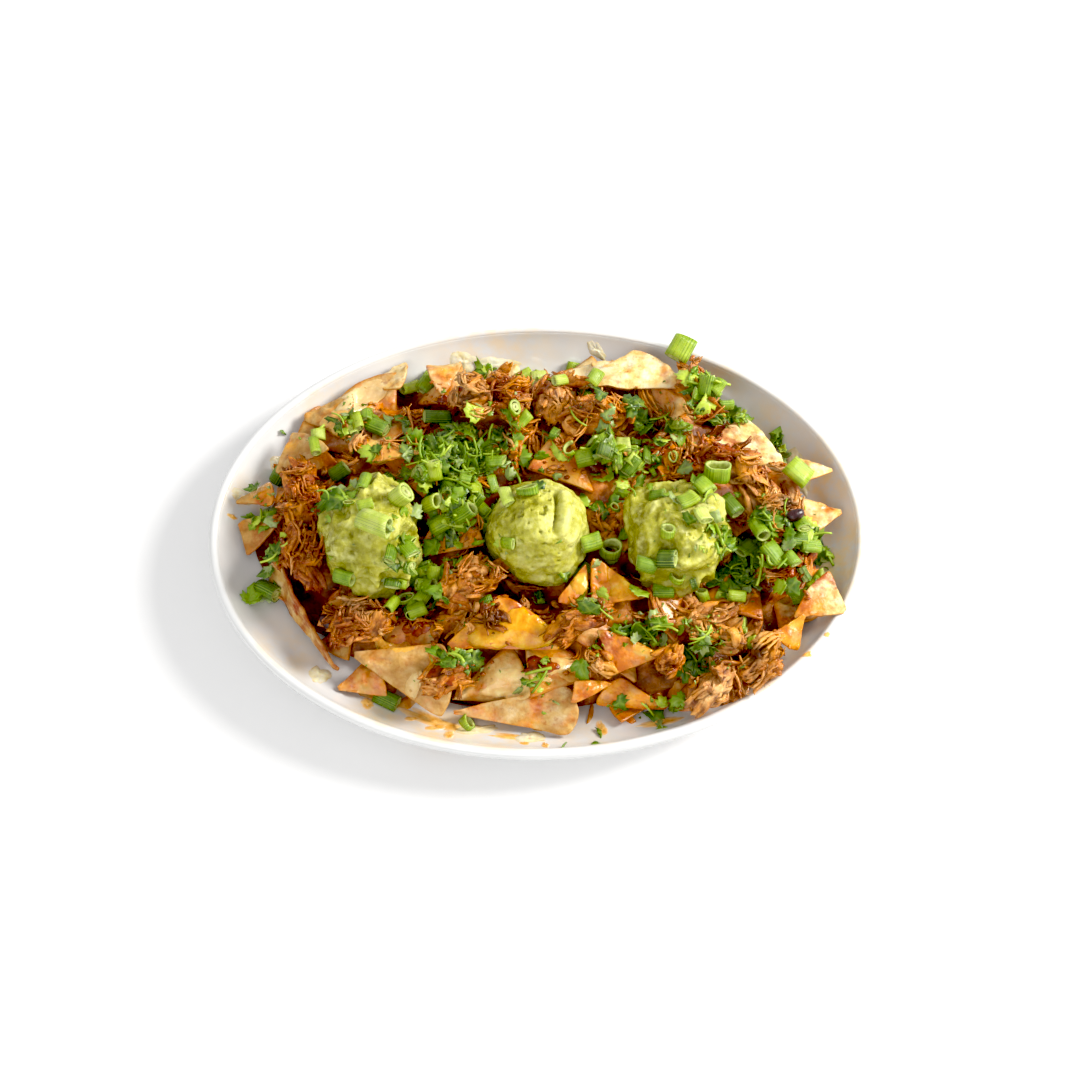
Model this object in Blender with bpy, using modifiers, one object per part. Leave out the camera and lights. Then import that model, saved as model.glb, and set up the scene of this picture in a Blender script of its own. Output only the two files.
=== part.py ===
"""Nachos with pulled pork, guacamole, spring onion and coriander on an oval white platter.

+X runs along the platter's long axis, +Y to its far side and +Z up. The origin is on the
table, under the platter's centre. Named sizes are in millimetres, and MM turns them into
metres where a mesh or an object is made.
"""

import math

import bmesh
import bpy
import numpy as np
from mathutils import Matrix, Vector, noise
from mathutils.bvhtree import BVHTree

MM = 0.001

# Platter: an oval coupe dish of glazed ceramic, the same wall all the way round.
PLATTER_LENGTH = 330.0
PLATTER_WIDTH = 240.0
PLATTER_SEGMENTS = 64
FOOT_INSET = 36.0
FOOT_WIDTH = 4.0
UNDERSIDE_HEIGHT = 2.8
# (inset from the outermost edge, height), from the middle of the floor to the rim.
PLATTER_INSIDE = (
    (110.0, 7.2), (40.0, 8.0), (24.0, 10.8), (14.0, 16.0),
    (8.0, 22.0), (4.2, 27.8), (2.4, 29.0), (0.8, 28.0),
)
# The same from the rim down the outer wall to the foot.
PLATTER_OUTSIDE = ((0.0, 25.0), (0.6, 22.0), (8.0, 13.0), (20.0, 6.0), (33.0, 2.6))

# Clearances: pieces that touch keep a hair of air between their solids.
GAP = 0.4
MAP_STEP = 1.0
MAP_HALF = (172.0, 126.0)
NOWHERE = 1000.0

# Heap: the pile of chips, shredded pork, cheese and sauce that carries the rest.
HEAP_CROWN = 39.0
HEAP_EDGE = 7.0
HEAP_FALL = 2.4
HEAP_CELLS = 33
HEAP_LUMPS = ((26.0, 9.0), (12.0, 4.5))
HEAP_SOCKET = 9.5
HEAP_THINNEST = 1.2
HEAP_BOTTOM_RINGS = (1.0, 0.8, 0.55)
# How far the heap reaches from the centre, every 15 degrees from +X towards +Y.
HEAP_REACH = (
    142, 132, 122, 116, 106, 96, 92, 94, 102, 118, 128, 134,
    145, 132, 114, 102, 98, 94, 92, 92, 100, 120, 130, 136,
)

# Tortilla chips: sectors cut from a fried tortilla.
CHIP_THICKNESS = 1.8
CHIP_BULGE = 0.10
CHIP_BLUNT = 0.08
CHIP_GRID = (4, 3)
CHIP_WAVES = (20.0, 2.4)
# name: (tip, left corner, right corner, how far the middle bows up), lowest chips first.
CHIPS = {
    "chip_front_left_under": ((-100, -81, 18), (-84, -66, 20), (-74, -85, 17), 1.0),
    "chip_front_long": ((-47, -93, 14), (13, -84, 25), (13, -106, 15), 2.0),
    "chip_front_oily": ((64, -93, 17), (39, -79, 25), (27, -90, 16), 2.5),
    "chip_front_left_wedge": ((-94, -65, 27), (-46, -63, 32), (-48, -97, 18), 2.0),
    "chip_front_left_tall": ((-97, -75, 15), (-128, -17, 34), (-136, -22, 14), -2.0),
    "chip_front_small": ((14, -94, 25), (16, -84, 31), (35, -85, 28), 1.0),
    "chip_centre_front": ((-47, -66, 33), (-19, -41, 41), (11, -68, 33), 2.0),
    "chip_centre_folded": ((35, -80, 30), (27, -58, 36), (59, -72, 34), -2.5),
    "chip_centre_left": ((8, -46, 41), (23, -27, 44), (22, -49, 39), 1.5),
    "chip_centre_right": ((25, -49, 40), (26, -25, 45), (49, -45, 38), -2.0),
    "chip_right_low": ((151, -49, 31), (144, -26, 30), (124, -52, 29), 1.5),
    "chip_right_curled": ((129, -49, 29), (113, -60, 29), (126, -66, 20), 2.5),
    "chip_right_orange": ((156, 9, 24), (130, 16, 28), (133, -11, 29), 1.5),
    "chip_right_cream": ((152, 30, 27), (132, 36, 30), (134, 20, 33), 1.0),
    "chip_back_right": ((89, 43, 37), (106, 63, 29), (127, 25, 30), 4.0),
    "chip_back_corner": ((60, 104, 25), (29, 96, 25), (44, 80, 29), 1.0),
    "chip_back_middle": ((17, 77, 35), (52, 103, 29), (76, 76, 33), 3.0),
    "chip_back_left_yellow": ((-94, 84, 24), (-68, 100, 22), (-70, 78, 31), 2.0),
    "chip_back_left": ((-38, 97, 24), (-58, 96, 26), (-48, 73, 34), 1.5),
    "chip_left_tan": ((-152, 10, 20), (-126, 10, 29), (-147, -9, 18), 1.5),
    "chip_left_orange": ((-155, 19, 20), (-135, 27, 28), (-133, 12, 31), 1.0),
    "chip_left_flat": ((-122, 66, 25), (-96, 81, 28), (-98, 49, 33), 1.5),
    "chip_left_folded": ((-134, 31, 28), (-126, 56, 30), (-104, 40, 38), -2.0),
    "chip_crown_folded": ((-56, 35, 43), (-91, 47, 41), (-82, 30, 40), 3.0),
}

# Guacamole: scoops of diameter about 50, each with its own lobes.
SCOOP_SEGMENTS = 20
SCOOP_RINGS = 12
SCOOP_SEAT = 0.62
SCOOP_ROUGH = ((14.0, 2.6), (7.0, 1.4))
# name: (centre, half sizes, lobes as (azimuth, elevation, height, angular width)).
SCOOPS = {
    "guacamole_left": (
        (-81, -10, 43), (24, 28, 25),
        ((70, 35, 4.0, 28), (285, -5, 4.5, 26), (200, 20, 2.0, 35)),
    ),
    "guacamole_middle": (
        (0, -9, 44), (24.5, 25, 26),
        ((20, 25, 2.0, 30), (300, -20, 2.5, 24)),
    ),
    "guacamole_right": (
        (70, -12, 44), (25, 26, 25),
        ((148, 8, 8.0, 24), (40, 30, 3.0, 30), (255, -12, 3.0, 34)),
    ),
}

# Pulled pork: the distinct chunks that lie on the pile.
CHUNK_ROUGH = ((9.0, 4.5), (5.0, 2.0))
# name: (centre, half sizes, turn about +Z in degrees).
CHUNKS = {
    "pork_left_chunk": ((-85, -53, 33), (13, 10, 8), 20),
    "pork_left_shreds": ((-117, -17, 30), (16, 9, 7), 115),
    "pork_left_clump": ((-118, 15, 36), (17, 9, 7), 105),
    "pork_centre_shreds": ((-33, -35, 41), (16, 9, 7), 30),
    "pork_front_shreds": ((-44, -80, 31), (12, 9, 6), 10),
    "pork_front_pink": ((28, -76, 36), (7, 6, 5), 150),
    "pork_centre_charred": ((19, -58, 43), (14, 7, 6), 30),
    "pork_front_right_chunk": ((82, -88, 25), (14, 8, 8), 35),
    "pork_front_right_left": ((62, -77, 30), (9, 8, 7), 60),
    "pork_front_right_outer": ((107, -73, 28), (13, 7, 7), 40),
    "pork_front_right_top": ((85, -62, 36), (16, 9, 8), 165),
    "pork_right_sauced": ((124, -26, 34), (15, 10, 7), 60),
    "pork_right_pale": ((113, 5, 38), (17, 10, 8), 120),
    "pork_back_right_sauced": ((96, 24, 41), (16, 9, 7), 150),
    "pork_back_curl": ((32, 56, 41), (17, 11, 8), 10),
    "pork_back_shreds": ((6, 67, 39), (12, 10, 8), 70),
    "pork_back_dark": ((-14, 67, 39), (7, 13, 8), 15),
    "pork_back_pale": ((-32, 65, 40), (11, 10, 8), 40),
}
STRIP_PATH = ((75, 89, 33), (80, 82, 37), (81, 74, 40), (85, 66, 42), (85, 57, 43))
STRIP_RADII = (2.2, 3.4, 3.2, 3.6, 2.4)

# Spring onion: the largest pieces, each a squashed tube.
ONION_WALL = 1.1
ONION_SEGMENTS = 8
# name: (x, y), (length, width, height), turn about +Z, tilt about its side.
ONIONS = {
    "onion_rim": ((76, 99), (13, 12, 6), 60, 10),
    "onion_right_rim": ((131, 23), (13, 11, 8), 140, 15),
    "onion_double_ring": ((88, 13), (8, 14, 10), 85, 62),
    "onion_single_ring": ((36, -17), (6, 11, 10), 70, 75),
    "onion_large": ((35, 36), (15, 12, 9), 115, 25),
    "onion_scoop_left": ((-77, -18), (16, 10, 9), 330, 15),
}

SHARP_ANGLE = math.radians(40)


def clear_scene():
    """Removes what the scene holds, so that the part is alone in it."""
    for obj in list(bpy.data.objects):
        bpy.data.objects.remove(obj)


def make_material(name, colour, roughness):
    """A Principled material of one colour; nothing here is metal."""
    material = bpy.data.materials.new(name)
    material.use_nodes = True
    shader = material.node_tree.nodes["Principled BSDF"]
    shader.inputs["Base Color"].default_value = (*colour, 1.0)
    shader.inputs["Roughness"].default_value = roughness
    shader.inputs["Metallic"].default_value = 0.0
    material.diffuse_color = (*colour, 1.0)
    return material


def add_object(name, data, material, collection):
    """An object of that mesh or curve, in its collection, with its material."""
    obj = bpy.data.objects.new(name, data)
    data.materials.append(material)
    collection.objects.link(obj)
    return obj


def mesh_from(bm, name):
    """The mesh of a finished bmesh, with its faces out and its round stretches smooth."""
    bmesh.ops.recalc_face_normals(bm, faces=bm.faces)
    mesh = bpy.data.meshes.new(name)
    bm.to_mesh(mesh)
    bm.free()
    mesh.shade_smooth()
    mesh.set_sharp_from_angle(angle=SHARP_ANGLE)
    return mesh


def bridge(bm, rings):
    """Quads between each ring of vertices and the next one."""
    for lower, upper in zip(rings, rings[1:]):
        for i in range(len(lower)):
            j = (i + 1) % len(lower)
            bm.faces.new((lower[i], lower[j], upper[j], upper[i]))


def lumps(point, layers, shift=0.0):
    """Uneven relief at a point: the sum of noise layers of (size, height)."""
    p = Vector(point)
    return sum(
        height * noise.noise(p / size + Vector((shift, 0.37 * shift, 1.7 * shift)))
        for size, height in layers
    )


# ---------------------------------------------------------------- platter


def platter_profile():
    """The section's points, from the floor's middle over the rim to the underside's middle."""
    foot = (
        (FOOT_INSET, 0.0),
        (FOOT_INSET + FOOT_WIDTH, 0.0),
        (FOOT_INSET + FOOT_WIDTH + 2.0, UNDERSIDE_HEIGHT),
        (PLATTER_INSIDE[0][0], UNDERSIDE_HEIGHT),
    )
    return PLATTER_INSIDE + PLATTER_OUTSIDE + foot


def make_platter(collection):
    """Lofts the section round the oval, where every ring is inset equally on both axes."""
    bm = bmesh.new()
    rings = []
    for inset, height in platter_profile():
        half_x = (PLATTER_LENGTH / 2 - inset) * MM
        half_y = (PLATTER_WIDTH / 2 - inset) * MM
        angles = (2 * math.pi * i / PLATTER_SEGMENTS for i in range(PLATTER_SEGMENTS))
        rings.append(
            [bm.verts.new((half_x * math.cos(a), half_y * math.sin(a), height * MM)) for a in angles]
        )
    bridge(bm, rings)
    bm.faces.new(rings[0])
    bm.faces.new(rings[-1])
    glaze = make_material("white_glaze", (0.86, 0.85, 0.82), 0.15)
    return add_object("platter", mesh_from(bm, "platter"), glaze, collection)


def inset_at(x, y):
    """How far inside the platter's outermost edge the point lies, along equal insets."""
    low, high = 0.0, PLATTER_WIDTH / 2 - 0.01
    for _ in range(40):
        inset = (low + high) / 2
        reach = math.hypot(x / (PLATTER_LENGTH / 2 - inset), y / (PLATTER_WIDTH / 2 - inset))
        if reach < 1.0:
            low = inset
        else:
            high = inset
    return low


def platter_floor(x, y):
    """Height of the platter's inner surface over the point."""
    insets = [inset for inset, _ in reversed(PLATTER_INSIDE)]
    heights = [height for _, height in reversed(PLATTER_INSIDE)]
    return float(np.interp(inset_at(x, y), insets, heights))


# ---------------------------------------------------------------- resting pieces on each other


class Pile:
    """Height maps of what is already placed: its top, and its underside above the floor."""

    def __init__(self):
        self.xs = np.arange(-MAP_HALF[0], MAP_HALF[0] + MAP_STEP, MAP_STEP)
        self.ys = np.arange(-MAP_HALF[1], MAP_HALF[1] + MAP_STEP, MAP_STEP)
        self.top = np.full((len(self.xs), len(self.ys)), -NOWHERE)
        self.under = np.full((len(self.xs), len(self.ys)), NOWHERE)

    def scan(self, obj):
        """(cells, lowest heights, highest heights) of an object over the map's points."""
        bpy.context.view_layer.update()
        evaluated = obj.evaluated_get(bpy.context.evaluated_depsgraph_get())
        mesh = evaluated.to_mesh()
        points = [evaluated.matrix_world @ v.co / MM for v in mesh.vertices]
        tree = BVHTree.FromPolygons(points, [tuple(p.vertices) for p in mesh.polygons])
        evaluated.to_mesh_clear()
        corners = np.array([tuple(p) for p in points])
        lowest, highest = corners.min(0), corners.max(0)
        cells, low, high = [], [], []
        for i in np.flatnonzero((self.xs >= lowest[0]) & (self.xs <= highest[0])):
            for j in np.flatnonzero((self.ys >= lowest[1]) & (self.ys <= highest[1])):
                x, y = self.xs[i], self.ys[j]
                below = tree.ray_cast(Vector((x, y, -NOWHERE)), Vector((0, 0, 1)))[0]
                above = tree.ray_cast(Vector((x, y, NOWHERE)), Vector((0, 0, -1)))[0]
                if below is not None and above is not None:
                    cells.append((i, j))
                    low.append(below.z)
                    high.append(above.z)
        return tuple(np.array(cells).T), np.array(low), np.array(high)

    def add(self, obj):
        """Counts an object as placed, where it stands."""
        cells, low, high = self.scan(obj)
        self.top[cells] = np.maximum(self.top[cells], high)
        self.under[cells] = np.minimum(self.under[cells], low)

    def widened_top(self):
        """The top with every piece one cell wider all round, which clears steep sides too."""
        top = self.top
        for axis in (0, 1):
            top = np.maximum.reduce([np.roll(top, shift, axis) for shift in (-1, 0, 1)])
        return top

    def settle(self, obj, drop=False):
        """Lifts the object clear of what is placed, or with drop lowers it too, and adds it."""
        cells, low, _ = self.scan(obj)
        lift = float((self.widened_top()[cells] - low).max()) + GAP
        if drop or lift > 0:
            obj.location.z += lift * MM
        self.add(obj)

    def room_under(self, x, y):
        """The lowest underside of any placed piece near the point."""
        near_x = np.abs(self.xs - x) <= HEAP_SOCKET
        near_y = np.abs(self.ys - y) <= HEAP_SOCKET
        return float(self.under[np.ix_(near_x, near_y)].min())


# ---------------------------------------------------------------- chips


def frame_of(tip, left, right):
    """A chip's own frame at its tip: +X to the middle of its far edge, +Z off its face."""
    along = ((left + right) / 2 - tip).normalized()
    face = (right - tip).cross(left - tip).normalized()
    if face.z < 0:
        face = -face
    across = face.cross(along)
    frame = Matrix((along, across, face)).transposed().to_4x4()
    frame.translation = tip
    return frame


def make_chip(name, corners, bow, material, collection):
    """A bowed sector: a grid warped between its corners, then given its thickness."""
    tip, left, right = (Vector(c) for c in corners)
    frame = frame_of(tip, left, right)
    to_own = frame.inverted()
    left, right = to_own @ left, to_own @ right
    reach = (left.length + right.length) / 2
    bm = bmesh.new()
    bmesh.ops.create_grid(bm, x_segments=CHIP_GRID[0], y_segments=CHIP_GRID[1], size=1.0)
    for v in bm.verts:
        across = (v.co.x + 1) / 2
        along = CHIP_BLUNT + (1 - CHIP_BLUNT) * (v.co.y + 1) / 2
        crest = 4 * across * (1 - across)
        point = left.lerp(right, across) * along
        point.x += CHIP_BULGE * reach * crest * along
        point.z = bow * crest * along + lumps(frame @ point, (CHIP_WAVES,))
        v.co = point * MM
    bmesh.ops.recalc_face_normals(bm, faces=bm.faces)
    obj = add_object(name, mesh_from(bm, name), material, collection)
    frame.translation = tip * MM
    obj.matrix_world = frame
    shell = obj.modifiers.new("thickness", "SOLIDIFY")
    shell.thickness = CHIP_THICKNESS * MM
    shell.offset = 0.0
    return obj


# ---------------------------------------------------------------- guacamole and pork


def lobe_height(direction, lobes):
    """What a scoop's lobes add to its radius in a direction."""
    total = 0.0
    for azimuth, elevation, height, width in lobes:
        a, e = math.radians(azimuth), math.radians(elevation)
        centre = Vector((math.cos(a) * math.cos(e), math.sin(a) * math.cos(e), math.sin(e)))
        total += height * math.exp(-((direction.angle(centre) / math.radians(width)) ** 2))
    return total


def make_scoop(name, centre, half_sizes, lobes, material, collection):
    """A rough ball of guacamole with its lobes, seated flat in the heap."""
    bm = bmesh.new()
    bmesh.ops.create_uvsphere(bm, u_segments=SCOOP_SEGMENTS, v_segments=SCOOP_RINGS, radius=1.0)
    seat = -SCOOP_SEAT * half_sizes[2]
    for v in bm.verts:
        direction = v.co.normalized()
        size = lobe_height(direction, lobes) + lumps(direction * half_sizes[0], SCOOP_ROUGH, centre[0])
        point = Vector([h * d for h, d in zip(half_sizes, direction)]) + direction * size
        point.z = max(point.z, seat + 0.08 * point.z)
        v.co = point * MM
    obj = add_object(name, mesh_from(bm, name), material, collection)
    obj.location = Vector(centre) * MM
    return obj


def make_chunk(name, centre, half_sizes, turn, material, collection):
    """A lump of pulled pork, longer than it is wide."""
    bm = bmesh.new()
    bmesh.ops.create_icosphere(bm, subdivisions=2, radius=1.0)
    for v in bm.verts:
        direction = v.co.normalized()
        point = Vector([h * d for h, d in zip(half_sizes, direction)])
        v.co = (point + direction * lumps(point, CHUNK_ROUGH, centre[0] + centre[1])) * MM
    obj = add_object(name, mesh_from(bm, name), material, collection)
    obj.location = Vector(centre) * MM
    obj.rotation_euler.z = math.radians(turn)
    return obj


def make_strip(material, collection):
    """The long twisted strip of pork at the far side: a curve with a round section."""
    curve = bpy.data.curves.new("pork_back_strip", "CURVE")
    curve.dimensions = "3D"
    curve.bevel_depth = MM
    curve.bevel_resolution = 1
    curve.resolution_u = 2
    curve.use_fill_caps = True
    spline = curve.splines.new("NURBS")
    spline.points.add(len(STRIP_PATH) - 1)
    spline.order_u = 3
    spline.use_endpoint_u = True
    for point, place, radius in zip(spline.points, STRIP_PATH, STRIP_RADII):
        point.co = (*(Vector(place) * MM), 1.0)
        point.radius = radius
    return add_object("pork_back_strip", curve, material, collection)


# ---------------------------------------------------------------- heap


def heap_reach(angle):
    """How far the heap reaches from the centre at an angle."""
    step = 2 * math.pi / len(HEAP_REACH)
    at = (angle % (2 * math.pi)) / step
    first = int(at) % len(HEAP_REACH)
    share = at - int(at)
    share = share * share * (3 - 2 * share)
    second = (first + 1) % len(HEAP_REACH)
    return HEAP_REACH[first] * (1 - share) + HEAP_REACH[second] * share


def heap_point(across, along):
    """Maps a square's point to the heap's plan: (x, y, share of the reach)."""
    x = across * math.sqrt(1 - along * along / 2)
    y = along * math.sqrt(1 - across * across / 2)
    share = min(1.0, math.hypot(x, y))
    angle = math.atan2(y, x)
    reach = heap_reach(angle) * share
    return reach * math.cos(angle), reach * math.sin(angle), share


def heap_top(x, y, share, pile):
    """Height of the heap's uneven top, kept under everything that lies on it."""
    floor = platter_floor(x, y) + GAP
    edge = floor + HEAP_EDGE
    dome = edge + max(0.0, HEAP_CROWN - edge) * (1 - share**HEAP_FALL)
    height = dome + lumps((x, y, 0.0), HEAP_LUMPS) * (1 - 0.6 * share)
    height = min(height, pile.room_under(x, y) - GAP)
    return max(height, floor + HEAP_THINNEST)


def make_heap(pile, collection):
    """One closed solid: a top grid, and a bottom of rings that follows the platter's inside."""
    bm = bmesh.new()
    grid = []
    for i in range(HEAP_CELLS + 1):
        row = []
        for j in range(HEAP_CELLS + 1):
            x, y, share = heap_point(2 * i / HEAP_CELLS - 1, 2 * j / HEAP_CELLS - 1)
            row.append(bm.verts.new(Vector((x, y, heap_top(x, y, share, pile))) * MM))
        grid.append(row)
    for i in range(HEAP_CELLS):
        for j in range(HEAP_CELLS):
            bm.faces.new((grid[i][j], grid[i + 1][j], grid[i + 1][j + 1], grid[i][j + 1]))
    last = HEAP_CELLS
    rim = [grid[i][0] for i in range(last)]
    rim += [grid[last][j] for j in range(last)]
    rim += [grid[i][last] for i in range(last, 0, -1)]
    rim += [grid[0][j] for j in range(last, 0, -1)]
    rings = [rim]
    for share in HEAP_BOTTOM_RINGS:
        ring = []
        for v in rim:
            x, y = v.co.x / MM * share, v.co.y / MM * share
            ring.append(bm.verts.new(Vector((x, y, platter_floor(x, y) + GAP)) * MM))
        rings.append(ring)
    bridge(bm, rings)
    bm.faces.new(rings[-1])
    heap = make_material("pork_and_cheese", (0.58, 0.24, 0.07), 0.45)
    return add_object("nacho_heap", mesh_from(bm, "nacho_heap"), heap, collection)


# ---------------------------------------------------------------- spring onion


def make_onion(name, place, size, turn, tilt, material, collection):
    """A cut length of spring onion: an open tube, squashed, with a thin wall."""
    length, width, height = size
    bm = bmesh.new()
    bmesh.ops.create_cone(
        bm, cap_ends=False, segments=ONION_SEGMENTS, radius1=0.5, radius2=0.5, depth=1.0
    )
    for v in bm.verts:
        v.co = Vector((v.co.z * length, v.co.x * width, v.co.y * height)) * MM
    obj = add_object(name, mesh_from(bm, name), material, collection)
    obj.location = Vector((*place, 0.0)) * MM
    obj.rotation_euler = (0.0, math.radians(-tilt), math.radians(turn))
    wall = obj.modifiers.new("wall", "SOLIDIFY")
    wall.thickness = ONION_WALL * MM
    wall.offset = -1.0
    return obj


# ---------------------------------------------------------------- assembly


def build():
    clear_scene()
    parts = bpy.data.collections.new("nachos")
    bpy.context.scene.collection.children.link(parts)
    tortilla = make_material("tortilla", (0.80, 0.48, 0.18), 0.5)
    guacamole = make_material("guacamole", (0.55, 0.56, 0.14), 0.4)
    pork = make_material("pork", (0.55, 0.22, 0.08), 0.5)
    onion = make_material("spring_onion", (0.16, 0.42, 0.05), 0.35)

    pile = Pile()
    pile.add(make_platter(parts))
    pile.under[:] = NOWHERE
    for name, (*corners, bow) in CHIPS.items():
        pile.settle(make_chip(name, corners, bow, tortilla, parts))
    for name, (centre, half_sizes, lobes) in SCOOPS.items():
        pile.settle(make_scoop(name, centre, half_sizes, lobes, guacamole, parts))
    for name, (centre, half_sizes, turn) in CHUNKS.items():
        pile.settle(make_chunk(name, centre, half_sizes, turn, pork, parts))
    pile.settle(make_strip(pork, parts))
    pile.add(make_heap(pile, parts))
    for name, (place, size, turn, tilt) in ONIONS.items():
        pile.settle(make_onion(name, place, size, turn, tilt, onion, parts), drop=True)


build()
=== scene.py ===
"""The looks of a plate of nachos: an oval white platter piled with tortilla chips, pulled pork and
melted cheese, under guacamole, spring onion and coriander. Lengths are in metres, and MM turns the
named sizes in millimetres into them."""

import itertools
import math

import bmesh
import bpy
import numpy as np
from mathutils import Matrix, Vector
from mathutils.bvhtree import BVHTree


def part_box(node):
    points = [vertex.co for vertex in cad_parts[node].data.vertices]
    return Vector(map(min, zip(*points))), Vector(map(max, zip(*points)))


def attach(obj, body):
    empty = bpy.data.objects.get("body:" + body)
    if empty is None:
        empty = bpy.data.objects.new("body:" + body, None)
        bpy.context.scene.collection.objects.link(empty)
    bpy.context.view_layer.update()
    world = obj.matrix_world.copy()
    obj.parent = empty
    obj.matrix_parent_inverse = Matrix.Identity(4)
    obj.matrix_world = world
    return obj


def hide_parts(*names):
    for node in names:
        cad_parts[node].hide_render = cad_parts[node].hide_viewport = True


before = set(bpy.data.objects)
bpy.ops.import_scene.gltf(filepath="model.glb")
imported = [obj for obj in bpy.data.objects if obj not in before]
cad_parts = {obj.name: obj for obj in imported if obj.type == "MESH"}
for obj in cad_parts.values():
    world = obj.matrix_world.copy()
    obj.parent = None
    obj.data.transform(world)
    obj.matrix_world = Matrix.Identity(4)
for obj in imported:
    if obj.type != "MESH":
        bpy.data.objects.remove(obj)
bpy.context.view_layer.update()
MM = 0.001
UP = np.array([0.0, 0.0, 1.0])


# ---------------------------------------------------------------- numbers and noise


def noise(points, size, seed=0):
    """Smooth noise from -1 to 1 at each point (n x 3, metres), with lumps about size across."""
    q = points / size + 211.5
    cell = np.floor(q).astype(np.int64)
    f = q - cell
    f = f * f * f * (f * (f * 6 - 15) + 10)
    total = np.zeros(len(points))
    for corner in itertools.product((0, 1), repeat=3):
        c = cell + np.array(corner)
        h = c[:, 0] * 73856093 ^ c[:, 1] * 19349663 ^ c[:, 2] * 83492791 ^ (seed + 7) * 2654435761
        h = (h ^ (h >> 13)) * 1274126177 & 0xFFFFFFFFFFFF
        value = ((h ^ (h >> 16)) & 0xFFFFFF) / 0x7FFFFF - 1.0
        weight = np.prod(np.where(np.array(corner) == 1, f, 1 - f), axis=1)
        total += value * weight
    return total


def layered(points, layers, seed=0):
    """The sum of noise layers given as (size, height)."""
    return sum(h * noise(points, s, seed + k) for k, (s, h) in enumerate(layers))


def smooth_step(low, high, value):
    t = np.clip((value - low) / (high - low), 0, 1)
    return t * t * (3 - 2 * t)


def unit(v):
    return v / np.maximum(np.linalg.norm(v, axis=-1, keepdims=True), 1e-12)


def patches(x, y, spots):
    """How strongly a place lies in soft round spots of (x, y, radius, strength), in millimetres."""
    total = np.zeros(np.shape(x))
    for sx, sy, radius, strength in spots:
        away = ((x / MM - sx) ** 2 + (y / MM - sy) ** 2) / radius**2
        total = np.maximum(total, strength * np.exp(-away))
    return total


# ---------------------------------------------------------------- meshes


def mesh_object(name, verts, faces, material, attributes=None, smooth=True):
    """A mesh object riding on the platter's body, with per-point numbers for its material."""
    mesh = bpy.data.meshes.new(name)
    mesh.from_pydata(np.asarray(verts, float).tolist(), [], np.asarray(faces).tolist())
    mesh.validate()
    for key, values in (attributes or {}).items():
        layer = mesh.attributes.new(key, "FLOAT", "POINT")
        layer.data.foreach_set("value", np.asarray(values, np.float32))
    if smooth:
        mesh.shade_smooth()
    mesh.materials.append(material)
    obj = bpy.data.objects.new(name, mesh)
    bpy.context.scene.collection.objects.link(obj)
    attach(obj, "root")
    return obj


class Batch:
    """Gathers many small shapes into one mesh."""

    def __init__(self):
        self.verts, self.faces, self.count = [], [], 0
        self.numbers = {}

    def add(self, verts, faces, **numbers):
        verts = np.asarray(verts, float).reshape(-1, 3)
        self.verts.append(verts)
        self.faces.append(np.asarray(faces) + self.count)
        for key, value in numbers.items():
            self.numbers.setdefault(key, []).append(np.broadcast_to(np.asarray(value, float), len(verts)))
        self.count += len(verts)

    def place(self, verts, faces, spots, frames, sizes, **numbers):
        """Adds a copy of a shape at each spot, turned by its frame's rows and scaled."""
        many = np.einsum("nj,mjk->mnk", verts, frames) * sizes[:, None, None] + spots[:, None, :]
        step = np.arange(len(spots))[:, None, None] * len(verts)
        each = {k: np.repeat(np.broadcast_to(v, len(spots)), len(verts)) for k, v in numbers.items()}
        self.add(many, (np.asarray(faces)[None] + step).reshape(-1, np.asarray(faces).shape[1]), **each)

    def arrays(self):
        numbers = {k: np.concatenate(v) for k, v in self.numbers.items()}
        return np.concatenate(self.verts), np.concatenate(self.faces), numbers

    def build(self, name, material, slot):
        verts, faces, numbers = self.arrays()
        return mesh_object(name, verts, faces, material, numbers)


def tube_faces(rings, sides, closed_ends=True):
    """Triangles of a tube of rings x sides points, its ends closed by fans."""
    k, s = np.meshgrid(np.arange(rings - 1), np.arange(sides), indexing="ij")
    a = k * sides + s
    b = k * sides + (s + 1) % sides
    quads = np.stack([a, b, b + sides, a + sides], -1).reshape(-1, 4)
    faces = [quads[:, [0, 1, 2]], quads[:, [0, 2, 3]]]
    if closed_ends:
        fan = np.array([[0, i + 1, i] for i in range(1, sides - 1)])
        faces += [fan, fan[:, ::-1] + (rings - 1) * sides]
    return np.concatenate(faces)


def refined(node, simple=0, smooth=2, quads=True):
    """A finer mesh grown from a CAD node: (points, triangles, normals)."""
    bm = bmesh.new()
    bm.from_mesh(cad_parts[node].data)
    bmesh.ops.remove_doubles(bm, verts=bm.verts, dist=1e-6)
    if quads:
        bmesh.ops.join_triangles(
            bm, faces=bm.faces, angle_face_threshold=0.6, angle_shape_threshold=1.2
        )
    mesh = bpy.data.meshes.new(node + "_fine")
    bm.to_mesh(mesh)
    bm.free()
    helper = bpy.data.objects.new(node + "_fine", mesh)
    bpy.context.scene.collection.objects.link(helper)
    for kind, levels in (("SIMPLE", simple), ("CATMULL_CLARK", smooth)):
        if levels:
            modifier = helper.modifiers.new(kind, "SUBSURF")
            modifier.subdivision_type = kind
            modifier.levels = levels
            modifier.render_levels = levels
    bpy.context.view_layer.update()
    fine = bpy.data.meshes.new_from_object(helper.evaluated_get(bpy.context.evaluated_depsgraph_get()))
    bpy.data.objects.remove(helper)
    result = arrays_of(fine)
    bpy.data.meshes.remove(fine)
    bpy.data.meshes.remove(mesh)
    return result


def main_axes(points):
    """A shape's own axes as rows: its longest, middle and shortest direction."""
    centred = points - points.mean(0)
    return np.linalg.svd(centred, full_matrices=False)[2]


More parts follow.
